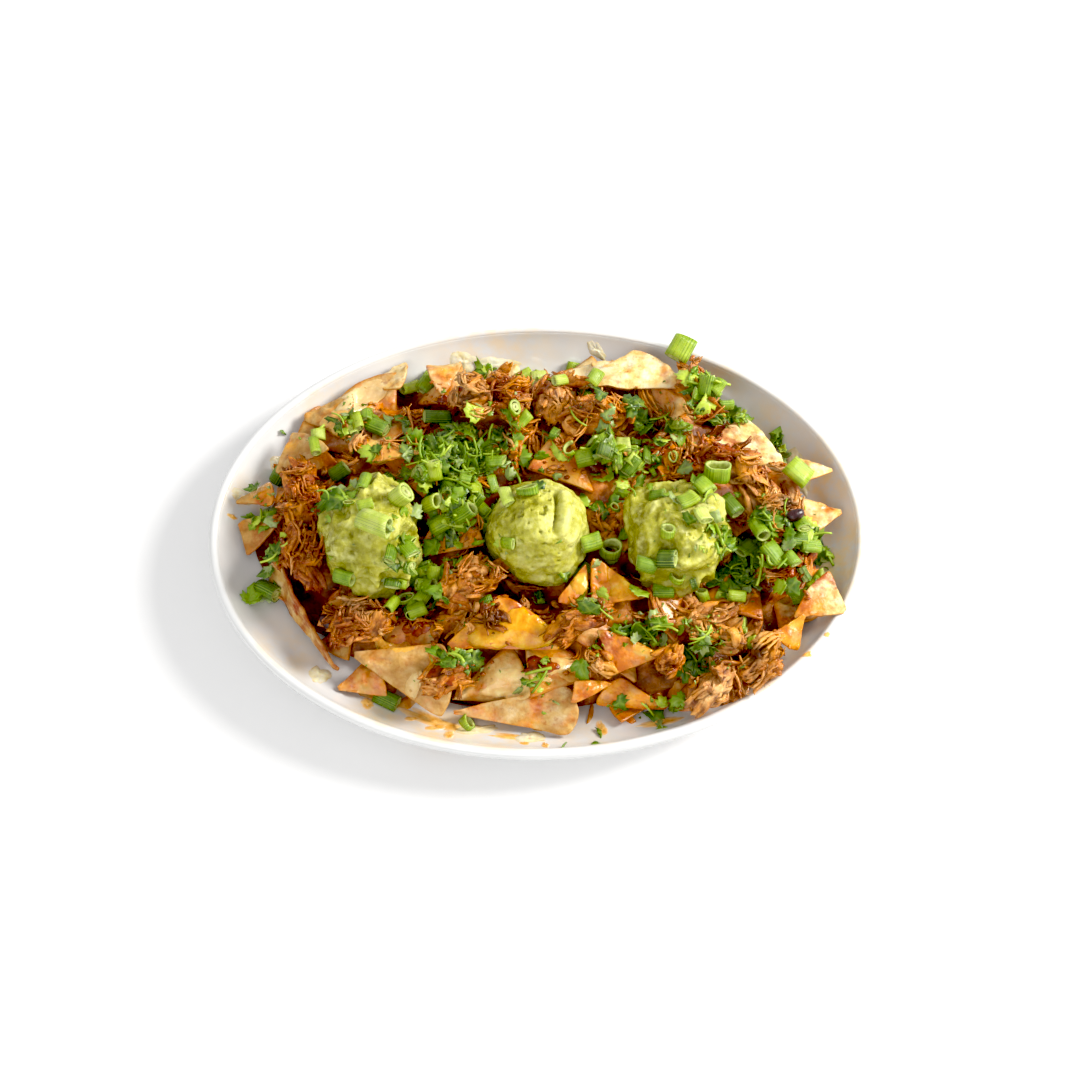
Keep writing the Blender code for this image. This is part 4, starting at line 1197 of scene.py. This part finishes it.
def held(points):
    """How far a scoop rises to hold the spring onion that leans out of its top."""
    rows, size, centre = onion_frame("onion_scoop_left")
    own = (points - centre) @ rows.T
    beyond = np.maximum(np.abs(own[:, 0]) - 0.35 * size[0], 0)
    share = np.exp(-((beyond / (3.5 * MM)) ** 2) - (own[:, 1] / (5.5 * MM)) ** 2)
    share *= smooth_step(-17 * MM, -11 * MM, own[:, 2])
    return share * np.clip(-0.22 * size[2] - own[:, 2], 0, 9 * MM)


def make_scoops(material):
    pieces = []
    for k, (node, (lumps, crumbs, pits, fresh)) in enumerate(SCOOP_LOOKS.items()):
        points, faces, normals = refined(node, simple=0, smooth=3)
        centre = (points.min(0) + points.max(0)) / 2
        crag = 0.6 - np.abs(noise(points, 11 * MM, 300 + k)) * 1.8
        tear = 0.5 - np.abs(noise(points, 3.6 * MM, 315 + k)) * 1.9
        lump = layered(points, ((6 * MM, 0.5), (2.2 * MM, 0.22)), 310 + k)
        whole = noise(points, 19 * MM, 360 + k)
        rough = (0.6 * lumps * (crag + whole) + crumbs * (0.6 * lump + 0.5 * tear)) * MM
        rough += 0.26 * MM * noise(points, 1.8 * MM, 330 + k)
        pit = smooth_step(0.58, 0.80, noise(points, 2.2 * MM, 320 + k)) * pits * MM
        # Painted light: tone rises towards +x, so each scoop's right side, facing the key light, is paler, and its
        # left side is darker as painted shade.
        tone = np.clip(fresh + 0.35 * noise(points, 12 * MM, 340 + k)
                       + 0.3 * (points[:, 0] - centre[0]) / (20 * MM), 0, 1)
        if node == "guacamole_middle":
            moved, ridge = cracked(points, centre)
            rough = rough * (1 - 0.8 * ridge) + moved
            pit = pit * (1 - ridge)
            tone = np.clip(tone + 0.9 * ridge, 0, 1)
        skirt = smooth_step(-4 * MM, -9 * MM, points[:, 2] - centre[2])
        rough += skirt * (1.6 + 1.2 * noise(points, 6 * MM, 350 + k)) * MM
        points = points + normals * (rough - pit)[:, None]
        points += UP * held(points)[:, None]
        # Painted shade: darker in the pits, in hollows of the rough surface and round the foot (skirt).
        dip = np.clip(0.8 * pit / MM + smooth_step(0.2 * MM, -2.2 * MM, rough) * 0.8 + 0.45 * skirt, 0, 1)
        piece = mesh_object(node + "_mashed", points, faces, material, {"dip": dip, "tone": tone})
        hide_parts(node)
        pieces.append(piece)
    return pieces


# ---------------------------------------------------------------- spring onion

ONION_SIDES = 20
ONION_RINGS = 5
RING_WAIST = 0.35
# The pieces that are CAD nodes, and each one's tone.
ONION_NODES = {
    "onion_rim": 0.35, "onion_right_rim": 0.32, "onion_double_ring": 0.42, "onion_single_ring": 0.3,
    "onion_large": 0.45, "onion_scoop_left": 0.08,
}


def onion_shape(length, width, height, wall, bend, rng, gap=0.0, waist=0.0):
    """A cut stalk lying along X: outer and inner skin, closed over its cut ends."""
    t = np.linspace(-0.5, 0.5, ONION_RINGS)[:, None]
    a = np.linspace(gap / 2, 2 * math.pi - gap / 2, ONION_SIDES, endpoint=gap > 0)[None]
    dent = 1 + 0.10 * np.cos(2 * a + rng.uniform(0, 6.28)) + 0.05 * np.cos(3 * a + rng.uniform(0, 6.28))
    dent = dent * (1 - waist * np.exp(-((np.cos(a) / 0.45) ** 2)))
    skew = rng.normal(0, 0.08)
    layers = []
    for inner in (0.0, wall):
        y = (width / 2 - inner) * np.cos(a) * dent
        z = (height / 2 - inner) * np.sin(a) * dent
        x = t * length + skew * y * np.sign(t)
        z = z + bend * (t * 2) ** 2 + 0 * x
        layers.append(np.stack([x, y + 0 * t, z], -1).reshape(-1, 3))
    verts = np.concatenate(layers)
    n, s = ONION_RINGS * ONION_SIDES, ONION_SIDES
    k, i = np.meshgrid(np.arange(ONION_RINGS - 1), np.arange(s - (gap > 0)), indexing="ij")
    p, q = k * s + i, k * s + (i + 1) % s
    outer = np.stack([p, p + s, q + s, q], -1).reshape(-1, 4)
    inner = np.stack([p, q, q + s, p + s], -1).reshape(-1, 4) + n
    i = np.arange(s - (gap > 0))
    j = (i + 1) % s
    last = (ONION_RINGS - 1) * s
    caps = [np.stack([i, j, j + n, i + n], -1), np.stack([j + last, i + last, i + last + n, j + last + n], -1)]
    if gap > 0:
        k = np.arange(ONION_RINGS - 1) * s
        caps += [np.stack([k, k + n, k + s + n, k + s], -1),
                 np.stack([k + s - 1, k + 2 * s - 1, k + 2 * s - 1 + n, k + s - 1 + n], -1)]
    quads = np.concatenate([outer, inner, *caps])
    faces = np.concatenate([quads[:, [0, 1, 2]], quads[:, [0, 2, 3]]])
    around = np.tile(np.broadcast_to(a, (ONION_RINGS, s)).ravel() / (2 * math.pi), 2) * 10
    inside = np.repeat([0.0, 1.0], n)
    return verts, faces, {"around": around, "inside": inside}


def make_onion_nodes(material, rng):
    """The pieces that are CAD nodes, each fitted to its solid's own axes."""
    pieces = []
    for node in ONION_NODES:
        rows, size, centre = onion_frame(node)
        waist = RING_WAIST if node == "onion_double_ring" else 0.0
        verts, faces, numbers = onion_shape(*size, 1.1 * MM, 0.0, rng, waist=waist)
        numbers["tone"] = np.full(len(verts), ONION_NODES[node])
        piece = mesh_object(node + "_cut", verts @ rows + centre, faces, material, numbers)
        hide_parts(node)
        pieces.append(piece)
    return pieces


def tube_axis_of(data, axes):
    """Which of the axes a tube runs along: the one its faces' normals avoid most."""
    weight = np.zeros(3)
    for face in data.polygons:
        weight += face.area * np.abs(axes @ np.array(face.normal[:]))
    return int(np.argmin(weight))


# Spring onion set down one by one: (x, y, heading, length, width, squash, tilt, tone), mm and degrees.
PLACED_ONIONS = (
    (-67, 87, 215, 10, 7, 0.8, 8, 0.15), (-58, 93, 240, 13, 8, 0.9, 12, 0.45), (-54, 64, 5, 14, 7.5, 0.7, 0, 0.85),
    (-93, 57, 95, 10, 8, 0.9, 35, 0.55), (-81, 57, 330, 11, 9, 0.7, 10, 0.6), (20, 100, 70, 9, 7, 0.8, 20, 0.35),
    (-6, 98, 30, 9, 6, 0.7, 0, 0.3), (3, 97, 340, 8, 6, 0.6, 0, 0.35), (30, 79, 60, 9, 7, 0.8, 5, 0.35),
    (25, 73, 120, 8, 6.5, 0.9, 30, 0.65), (10, 71, 20, 7, 6, 0.8, 10, 0.15), (22, 32, 10, 9, 9, 0.9, 25, 0.4),
    (8, 45, 0, 8, 6, 0.7, 0, 0.6), (-67, -1, 20, 9, 10, 0.8, 60, 0.12),
    (-48, 7, 0, 10, 8, 0.8, 0, 0.2), (-48, -3, 20, 9, 9, 0.7, 20, 0.4), (-26, 1, 60, 12, 9, 0.8, 30, 0.4),
    (-108, 6, 55, 12, 7, 0.5, 10, 0.75), (-136, -29, 320, 12, 9, 0.8, 10, 0.8), (-75, -86, 330, 12, 8, 0.8, 0, 0.7),
    (-36, -100, 20, 4, 8, 0.8, 50, 0.45), (99, -52, 0, 9, 8, 0.8, 0, 0.25), (105, -61, 350, 4, 7, 0.8, 30, 0.25),
    (-59, -24, 20, 11, 8, 0.7, 0, 0.5), (-56, -38, 60, 11, 7, 0.7, 0, 0.35), (-74, -47, 60, 10, 6, 0.8, 10, 0.3),
    (-92, -34, 340, 10, 7, 0.8, 0, 0.5), (-52, -28, 80, 12, 7, 0.5, 0, 0.3), (28, 40, 100, 11, 10, 0.6, 10, 0.6),
    (39, 36, 85, 16, 3.4, 1.0, 5, 0.55), (49, 26, 40, 10, 7, 0.7, 10, 0.8), (42, 30, 60, 9, 7, 0.7, 0, 0.6),
    (54, 34, 70, 9, 6, 0.4, 0, 0.7), (23, -24, 30, 9, 8, 0.7, 20, 0.4), (52, -31, 340, 10, 8, 0.6, 0, 0.5),
    (60, -38, 0, 10, 8, 0.7, 0, 0.6), (72, -6, 30, 9, 8, 0.7, 0, 0.35), (62, -21, 80, 4, 8, 0.9, 60, 0.4),
    (103, -16, 50, 10, 8, 0.6, 10, 0.6), (114, -24, 310, 11, 9, 0.6, 0, 0.5), (125, -15, 0, 10, 8, 0.8, 0, 0.75),
    (132, -21, 20, 10, 8, 0.8, 0, 0.45), (140, -28, 40, 8, 8, 0.7, 0, 0.3), (130, -37, 10, 9, 7, 0.8, 10, 0.45),
    (108, -15, 90, 13, 6, 0.5, 0, 0.65), (96, -40, 0, 9, 7, 0.6, 0, 0.3), (-44, 16, 300, 9, 7, 0.8, 0, 0.75),
    (-30, 10, 40, 9, 8, 0.8, 20, 0.7), (-34, -2, 10, 10, 9, 0.8, 30, 0.5), (-100, 34, 20, 9, 8, 0.8, 20, 0.6),
    (-135, 38, 40, 7, 9, 0.8, 60, 0.75), (36, -16, 0, 3, 10, 0.9, 80, 0.3), (88, 66, 60, 10, 8, 0.8, 20, 0.5),
    (96, 58, 20, 8, 7, 0.7, 0, 0.5), (-24, 22, 110, 9, 8, 0.7, 0, 0.45), (60, 4, 0, 8, 6, 0.7, 0, 0.6),
    (-4, 2, 95, 3.5, 12, 0.5, 60, 0.5), (22, -18, 20, 10, 9, 0.9, 25, 0.4), (-18, 9, 130, 10, 8, 0.8, 10, 0.6),
)

# Where more spring onion lies: (x, y, spread x, spread y, how many), in millimetres.
ONION_CLUSTERS = (
    (-60, -33, 12, 11, 14), (-40, 18, 24, 16, 18), (42, 32, 16, 10, 12), (120, -18, 22, 14, 16),
    (-92, 62, 10, 8, 4), (8, 84, 20, 6, 4), (-112, 50, 10, 8, 4), (85, -8, 12, 12, 5), (75, -35, 10, 6, 4),
    (92, 66, 12, 8, 5), (0, 45, 14, 10, 5), (0, -5, 90, 60, 14), (-84, 2, 10, 10, 4),
)


# Half the length and width of the oval that the toppings stay within.
TOPPED_OVAL = (149 * MM, 103 * MM)
# Places that few toppings fell on, as (x, y, radius, how few), in millimetres.
UNTOPPED_SPOTS = (
    (2, -10, 24, 1.3), (68, -14, 16, 0.8), (-84, -14, 12, 0.5), (-72, -74, 16, 1.2), (-5, -90, 18, 1.0),
    (-8, -58, 14, 1.0), (38, -40, 10, 1.0), (48, 90, 16, 1.1), (112, 44, 13, 1.1), (-112, 62, 14, 1.1),
    (146, -40, 12, 1.2), (148, 6, 10, 1.0), (-118, -40, 20, 1.2), (45, -76, 12, 0.8), (84, -86, 12, 0.8),
    (-86, -54, 10, 0.8), (-32, 66, 10, 0.9), (36, -16, 7, 1.2),
)


def scatter(tree, clusters, rng):
    """Spots and normals for clusters of (x, y, spread x, spread y, how many)."""
    spots, normals = [], []
    for x, y, wide, deep, many in clusters:
        for _ in range(many):
            at_x = (x + rng.normal(0, 0.55) * wide) * MM
            at_y = (y + rng.normal(0, 0.55) * deep) * MM
            found = drop(tree, at_x, at_y)
            inside = math.hypot(at_x / TOPPED_OVAL[0], at_y / TOPPED_OVAL[1]) < 1
            if found and inside and rng.random() > patches(at_x, at_y, UNTOPPED_SPOTS):
                spots.append(found[0])
                normals.append(found[1])
    return np.array(spots), np.array(normals)


def lay_onion(batch, spot, normal, heading, length, width, squash, tilt, tone, rng):
    """Adds one cut of spring onion lying on a surface; a pale-cored one if its tone is low."""
    gap = rng.uniform(0.6, 2.6) if rng.random() < 0.2 else 0.0
    wall = rng.uniform(0.09, 0.15) * width
    lean = unit(normal + UP * 0.7 + rng.normal(0, 0.12, 3))
    rows = frames_on(lean[None], np.array([heading]), np.array([tilt]))[0]
    bend = rng.uniform(-0.4, 0.8) * MM
    parts = [onion_shape(length, width, width * squash, wall, bend, rng, gap)]
    if rng.random() < 0.3 and squash > 0.6:
        inner = 0.60 * width
        parts.append(onion_shape(length * 0.96, inner, inner * squash, 0.3 * inner, bend, rng))
        parts[1][2]["inside"] = np.maximum(parts[1][2]["inside"], 0.8)
    lowest = (parts[0][0] @ rows @ unit(normal)).min()
    for verts, faces, numbers in parts:
        placed = verts @ rows + spot - unit(normal) * (lowest + 1.0 * MM)
        batch.add(placed, faces, tone=tone, **numbers)


def make_onions(material, tree, rng):
    batch = Batch()
    for x, y, heading, length, width, squash, tilt, tone in PLACED_ONIONS:
        found = drop(tree, x * MM, y * MM)
        if found:
            lay_onion(batch, *found, math.radians(heading), length * MM, width * MM, squash,
                      math.radians(tilt), tone, rng)
    for spot, normal in zip(*scatter(tree, ONION_CLUSTERS, rng)):
        ring = rng.random() < 0.34
        length = rng.uniform(2.0, 3.5) if ring else rng.uniform(5.5, 11.5)
        tilt = rng.uniform(-1.3, 1.3) if ring else rng.normal(0, 0.3)
        lay_onion(batch, spot, normal, rng.uniform(0, 2 * math.pi), length * MM, rng.uniform(5.5, 9) * MM,
                  rng.uniform(0.35, 0.95), tilt, np.clip(rng.normal(0.46, 0.28), 0, 1), rng)
    return batch.build("onion_cut", material, "spring_onion")


# ---------------------------------------------------------------- coriander

LEAF_THICK = 0.02
LEAF_EDGE = 24
CHIP_EDGE = 12
BIT_EDGE = 6
BIT_KINDS = 6


def leaf_shape(edge, rings, lobes, cuts, fold, curl, rng):
    """A lobed leaf about 1 across, cut straight along some lines, folded and curled."""
    a = np.linspace(-math.pi, math.pi, edge, endpoint=False)
    reach = 0.60 + 0.40 * np.abs(np.cos(a * lobes / 2)) ** rng.uniform(0.35, 0.8)
    reach *= 1 + 0.09 * np.where(np.arange(edge) % 2, 1, -1) + rng.normal(0, 0.04, edge)
    reach *= 0.75 + 0.25 * np.cos(a)
    flat = [[0.0, 0.0]]
    for r in rings:
        flat += [[0.55 * r * q * math.cos(b), 0.55 * r * q * math.sin(b)] for q, b in zip(reach, a)]
    flat = np.array(flat)
    way = rng.uniform(0, 2 * math.pi)
    for cut in cuts:
        normal = np.array([math.cos(way), math.sin(way)])
        flat = flat - np.maximum(flat @ normal - cut, 0)[:, None] * normal
        way += rng.uniform(1.2, 3.4)
    z = curl * (flat[:, 0] ** 2 + 0.5 * flat[:, 1] ** 2) + fold * np.abs(flat[:, 1])
    z += 0.06 * noise(np.column_stack([flat, np.zeros(len(flat))]), 0.22, rng.integers(1000))
    vein = np.concatenate([[1.0], np.tile(np.abs(np.cos(a * lobes / 2)) ** 14, len(rings))])
    i = np.arange(edge)
    j = (i + 1) % edge
    faces = [np.stack([0 * i, 1 + i, 1 + j], -1)]
    for k in range(len(rings) - 1):
        p, q = 1 + k * edge + i, 1 + k * edge + j
        faces += [np.stack([p, p + edge, q + edge], -1), np.stack([p, q + edge, q], -1)]
    faces = np.concatenate(faces)
    top = np.column_stack([flat, z])
    n = len(top)
    rim, after = n - edge + i, n - edge + j
    wall = [np.stack([rim, rim + n, after + n], -1), np.stack([rim, after + n, after], -1)]
    points = np.concatenate([top, top - UP * LEAF_THICK])
    faces = np.concatenate([faces, faces[:, ::-1] + n, *wall])
    return points, faces, {"vein": np.tile(vein, 2), "back": np.repeat([0.0, 1.0], n)}


# Where coriander lies: (x, y, spread x, spread y, how many), in millimetres.
LEAF_CLUSTERS = (
    (-40, 37, 24, 18, 190), (-36, 8, 12, 16, 50), (-58, -28, 11, 12, 34), (-95, 6, 7, 12, 16),
    (52, -60, 11, 7, 30), (78, -68, 10, 7, 26), (0, -84, 8, 10, 22), (-40, -74, 8, 5, 12),
    (126, 50, 6, 8, 20), (107, 64, 7, 5, 12), (92, 68, 13, 9, 34), (-26, 100, 6, 5, 9), (132, -12, 18, 8, 34),
    (95, -85, 5, 5, 8), (-126, 68, 5, 4, 5), (-140, 15, 8, 10, 12), (98, -22, 20, 14, 78), (112, -8, 9, 7, 16), (46, 36, 16, 11, 48),
    (56, 58, 8, 5, 10), (76, 58, 10, 7, 20), (60, -92, 18, 3, 10), (0, 0, 85, 50, 84), (-130, -18, 6, 8, 8),
    (30, -52, 14, 12, 14), (-105, 60, 12, 10, 14),
)
# Single leaves that fell on the platter's wall.
FALLEN_LEAVES = ((57, -103), (29, -104), (24, -113), (11, -114), (-144, -33), (60, -104), (-132, 60), (126, 58))
UNDERSIDE_SHARE = 0.15
LEAF_KINDS = 18
CHOPPED_KINDS = 10


def spread_leaves(batch, shapes, spots, normals, sizes, heights, rng):
    """Adds a leaf of a random kind at each spot."""
    kinds = rng.integers(0, len(shapes), len(spots))
    for kind, (verts, faces, numbers) in enumerate(shapes):
        mine = kinds == kind
        many = int(mine.sum())
        if not many:
            continue
        lean = unit(normals[mine] + UP * 0.5 + rng.normal(0, 0.42, (many, 3)))
        rows = frames_on(lean, rng.uniform(0, 2 * math.pi, many), rng.normal(0, 0.3, many))
        rows[rng.random(many) < UNDERSIDE_SHARE, 1:] *= -1
        up = unit(normals[mine] + UP) * (rng.uniform(*heights, many) * MM)[:, None]
        tones = np.clip(rng.normal(0.50, 0.34, many), 0, 1)
        batch.place(verts, faces, spots[mine] + up, rows, rng.uniform(*sizes, many) * MM, tone=tones)
        for key, value in numbers.items():
            batch.numbers.setdefault(key, []).append(np.tile(value, many))


def make_leaves(material, tree, rng):
    big = [leaf_shape(LEAF_EDGE, (0.45, 1.0), 5 if k % 2 else 3, rng.uniform(0.02, 0.3, min(k // 5, 2)),
                      rng.uniform(-0.2, 0.6), rng.uniform(-1.1, 1.1), rng) for k in range(LEAF_KINDS)]
    batch = Batch()
    spots, normals = scatter(tree, LEAF_CLUSTERS, rng)
    fallen = [drop(tree, x * MM, y * MM) for x, y in FALLEN_LEAVES]
    spots = np.array([*spots, *[spot for spot, _ in fallen]])
    normals = np.array([*normals, *[normal for _, normal in fallen]])
    spread_leaves(batch, big, spots, normals, (5.5, 15), (0.2, 2.2), rng)
    whole = batch.build("coriander_leaves", material, "coriander")
    small = [leaf_shape(CHIP_EDGE, (1.0,), 3, rng.uniform(-0.05, 0.25, 2), rng.uniform(-0.3, 0.5),
                        rng.uniform(-1, 1), rng) for _ in range(CHOPPED_KINDS)]
    batch = Batch()
    clusters = [(x, y, w * 1.3, d * 1.3, int(many * 1.5) + 3) for x, y, w, d, many in LEAF_CLUSTERS]
    spots, normals = scatter(tree, clusters, rng)
    spread_leaves(batch, small, spots, normals, (2.4, 6.5), (0.1, 1.6), rng)
    return [whole, batch.build("coriander_chopped", material, "coriander")]


def make_bits(material, tree, rng):
    """The finest chop: flecks of green a few millimetres across and less."""
    shapes = [leaf_shape(BIT_EDGE, (1.0,), 2, rng.uniform(0.0, 0.2, 2), 0.0, 0.3, rng) for _ in range(BIT_KINDS)]
    batch = Batch()
    clusters = [(x, y, w * 1.8, d * 1.8, int(many * 0.6) + 3) for x, y, w, d, many in LEAF_CLUSTERS]
    spots, normals = scatter(tree, clusters, rng)
    spread_leaves(batch, shapes, spots, normals, (1.4, 3.6), (0.1, 0.5), rng)
    return batch.build("coriander_bits", material, "coriander")


def make_stems(material, tree, rng):
    """Chopped coriander stems: thin short tubes."""
    batch = Batch()
    clusters = [(x, y, w, d, max(1, many // 6)) for x, y, w, d, many in LEAF_CLUSTERS]
    spots, normals = scatter(tree, clusters, rng)
    many = len(spots)
    rows = frames_on(unit(normals + UP), rng.uniform(0, 6.28, many), rng.normal(0, 0.25, many))
    sides = 6
    t = np.linspace(0, 1, 5)
    a = np.arange(sides) * 2 * math.pi / sides
    for spot, normal, (x, y, z) in zip(spots, normals, rows):
        length, thick = rng.uniform(5, 15) * MM, rng.uniform(0.4, 0.8) * MM
        bend = rng.normal(0, 0.12) * length
        line = spot + normal * 1.2 * MM + x * ((t - 0.5) * length)[:, None] + y * (bend * (2 * t - 1) ** 2)[:, None]
        ring = y * np.cos(a)[:, None] + z * np.sin(a)[:, None]
        points = line[:, None] + ring[None] * thick
        batch.add(points, tube_faces(5, sides), tone=rng.uniform(0.6, 1.0), back=0.0, vein=0.3)
    return batch.build("coriander_stems", material, "coriander")


# ---------------------------------------------------------------- black beans

# Beans that show through the meat: (x, y, heading) in millimetres and degrees.
BEANS = ((126, -5, 20), (-20, 90, 70), (-104, -48, 130))
BEAN_SIZE = (9.5 * MM, 6.0 * MM, 5.4 * MM)


def make_beans(material, tree):
    bm = bmesh.new()
    bmesh.ops.create_icosphere(bm, subdivisions=3, radius=0.5)
    ball = np.array([v.co[:] for v in bm.verts])
    faces = np.array([[v.index for v in f.verts] for f in bm.faces])
    bm.free()
    bean = ball * BEAN_SIZE
    bean[:, 1] += 0.9 * MM * (2 * ball[:, 0]) ** 2
    batch = Batch()
    for k, (x, y, heading) in enumerate(BEANS):
        spot, normal = drop(tree, x * MM, y * MM)
        rows = frames_on(unit(normal + UP)[None], np.radians([heading]), np.zeros(1))[0]
        points = bean + 0.2 * MM * noise(bean, 3 * MM, 70 + k)[:, None] * unit(bean)
        batch.add(points @ rows + spot + normal * 0.8 * MM, faces)
    return batch.build("black_beans", material, "pork_and_cheese")


# ---------------------------------------------------------------- light, floor and camera

CAMERA_AIM = (1.1 * MM, -2.9 * MM, 20 * MM)
CAMERA_TURN = -0.83
CAMERA_RISE = 65.0
CAMERA_AWAY = 0.85
CAMERA_LENS = 56.04


BLACK_LEVEL = 0.027


def make_floor():
    bpy.ops.mesh.primitive_plane_add(size=6.0, location=(0, 0, 0))
    floor = bpy.context.object
    floor.name = "floor"
    floor.data.materials.append(floor_material())


def aim(obj, spot, target):
    obj.location = Vector(spot)
    obj.rotation_mode = "QUATERNION"
    obj.rotation_quaternion = (Vector(target) - Vector(spot)).to_track_quat("-Z", "Y")


def make_light(name, spot, size, power, colour=(1, 1, 1)):
    light = bpy.data.lights.new(name, "AREA")
    light.shape = "DISK"
    light.size = size
    light.energy = power
    light.color = colour
    obj = bpy.data.objects.new(name, light)
    bpy.context.scene.collection.objects.link(obj)
    aim(obj, spot, (0, 0, 0.02))


def make_camera():
    turn, rise = math.radians(CAMERA_TURN), math.radians(CAMERA_RISE)
    back = Vector((math.sin(turn) * math.cos(rise), -math.cos(turn) * math.cos(rise), math.sin(rise)))
    camera = bpy.data.cameras.new("camera")
    camera.lens = CAMERA_LENS
    camera.sensor_width = 36.0
    camera.clip_start = 0.01
    obj = bpy.data.objects.new("camera", camera)
    bpy.context.scene.collection.objects.link(obj)
    aim(obj, Vector(CAMERA_AIM) + back * CAMERA_AWAY, CAMERA_AIM)
    bpy.context.scene.camera = obj


def light_scene():
    make_light("key", (0.98, 0.28, 0.74), 0.50, 20.5, (1.0, 0.98, 0.95))
    make_light("fill", (-0.4, -0.9, 0.9), 0.9, 5.0, (1.0, 0.99, 0.98))
    world = bpy.data.worlds.new("studio")
    world.use_nodes = True
    background = world.node_tree.nodes["Background"]
    background.inputs["Color"].default_value = (1.0, 1.0, 1.0, 1.0)
    background.inputs["Strength"].default_value = 0.68
    bpy.context.scene.world = world
    view = bpy.context.scene.view_settings
    view.view_transform = "Standard"
    view.use_curve_mapping = True
    view.curve_mapping.black_level = (BLACK_LEVEL,) * 3
    view.curve_mapping.update()


# ---------------------------------------------------------------- the dish


def build():
    rng = np.random.default_rng(11)
    tortilla, pork, cheese = tortilla_material(), pork_material(), cheese_material()
    onion, leaf = onion_material(), leaf_material()
    platter = make_platter(glaze_material())
    make_spills(cheese, oil_material(), platter)
    core = make_core(pork)
    chips = make_chips(tortilla)
    chunk_nodes = sorted(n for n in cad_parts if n.startswith("pork_"))
    chunks = make_chunks(pork, chunk_nodes)
    scoops = make_scoops(guacamole_material())
    solid = [core, *chips, *chunks]
    solid.append(make_buried_chips(tortilla, tree_of([core, platter]), rng))
    solid.append(make_cheese(cheese, tree_of(solid)))
    solid.append(make_sauce(sauce_material(), tree_of(solid)))
    solid.append(make_flakes(pork, tree_of(solid), chunks, rng))
    solid.append(make_chunk_fibres(pork, chunks, rng))
    solid.append(make_bundles(pork, tree_of(solid), rng))
    solid.append(make_crumbs(pork, tree_of(solid), rng))
    make_strays(pork, tree_of(solid), rng)
    cut = make_onion_nodes(onion, rng)
    solid += [*scoops, *cut, platter]
    solid += make_leaves(leaf, tree_of(solid), rng)
    solid.append(make_onions(onion, tree_of(solid), rng))
    surface = tree_of(solid)
    make_stems(leaf, surface, rng)
    make_bits(leaf, surface, rng)
    make_beans(bean_material(), surface)


make_camera()
make_floor()
light_scene()
build()
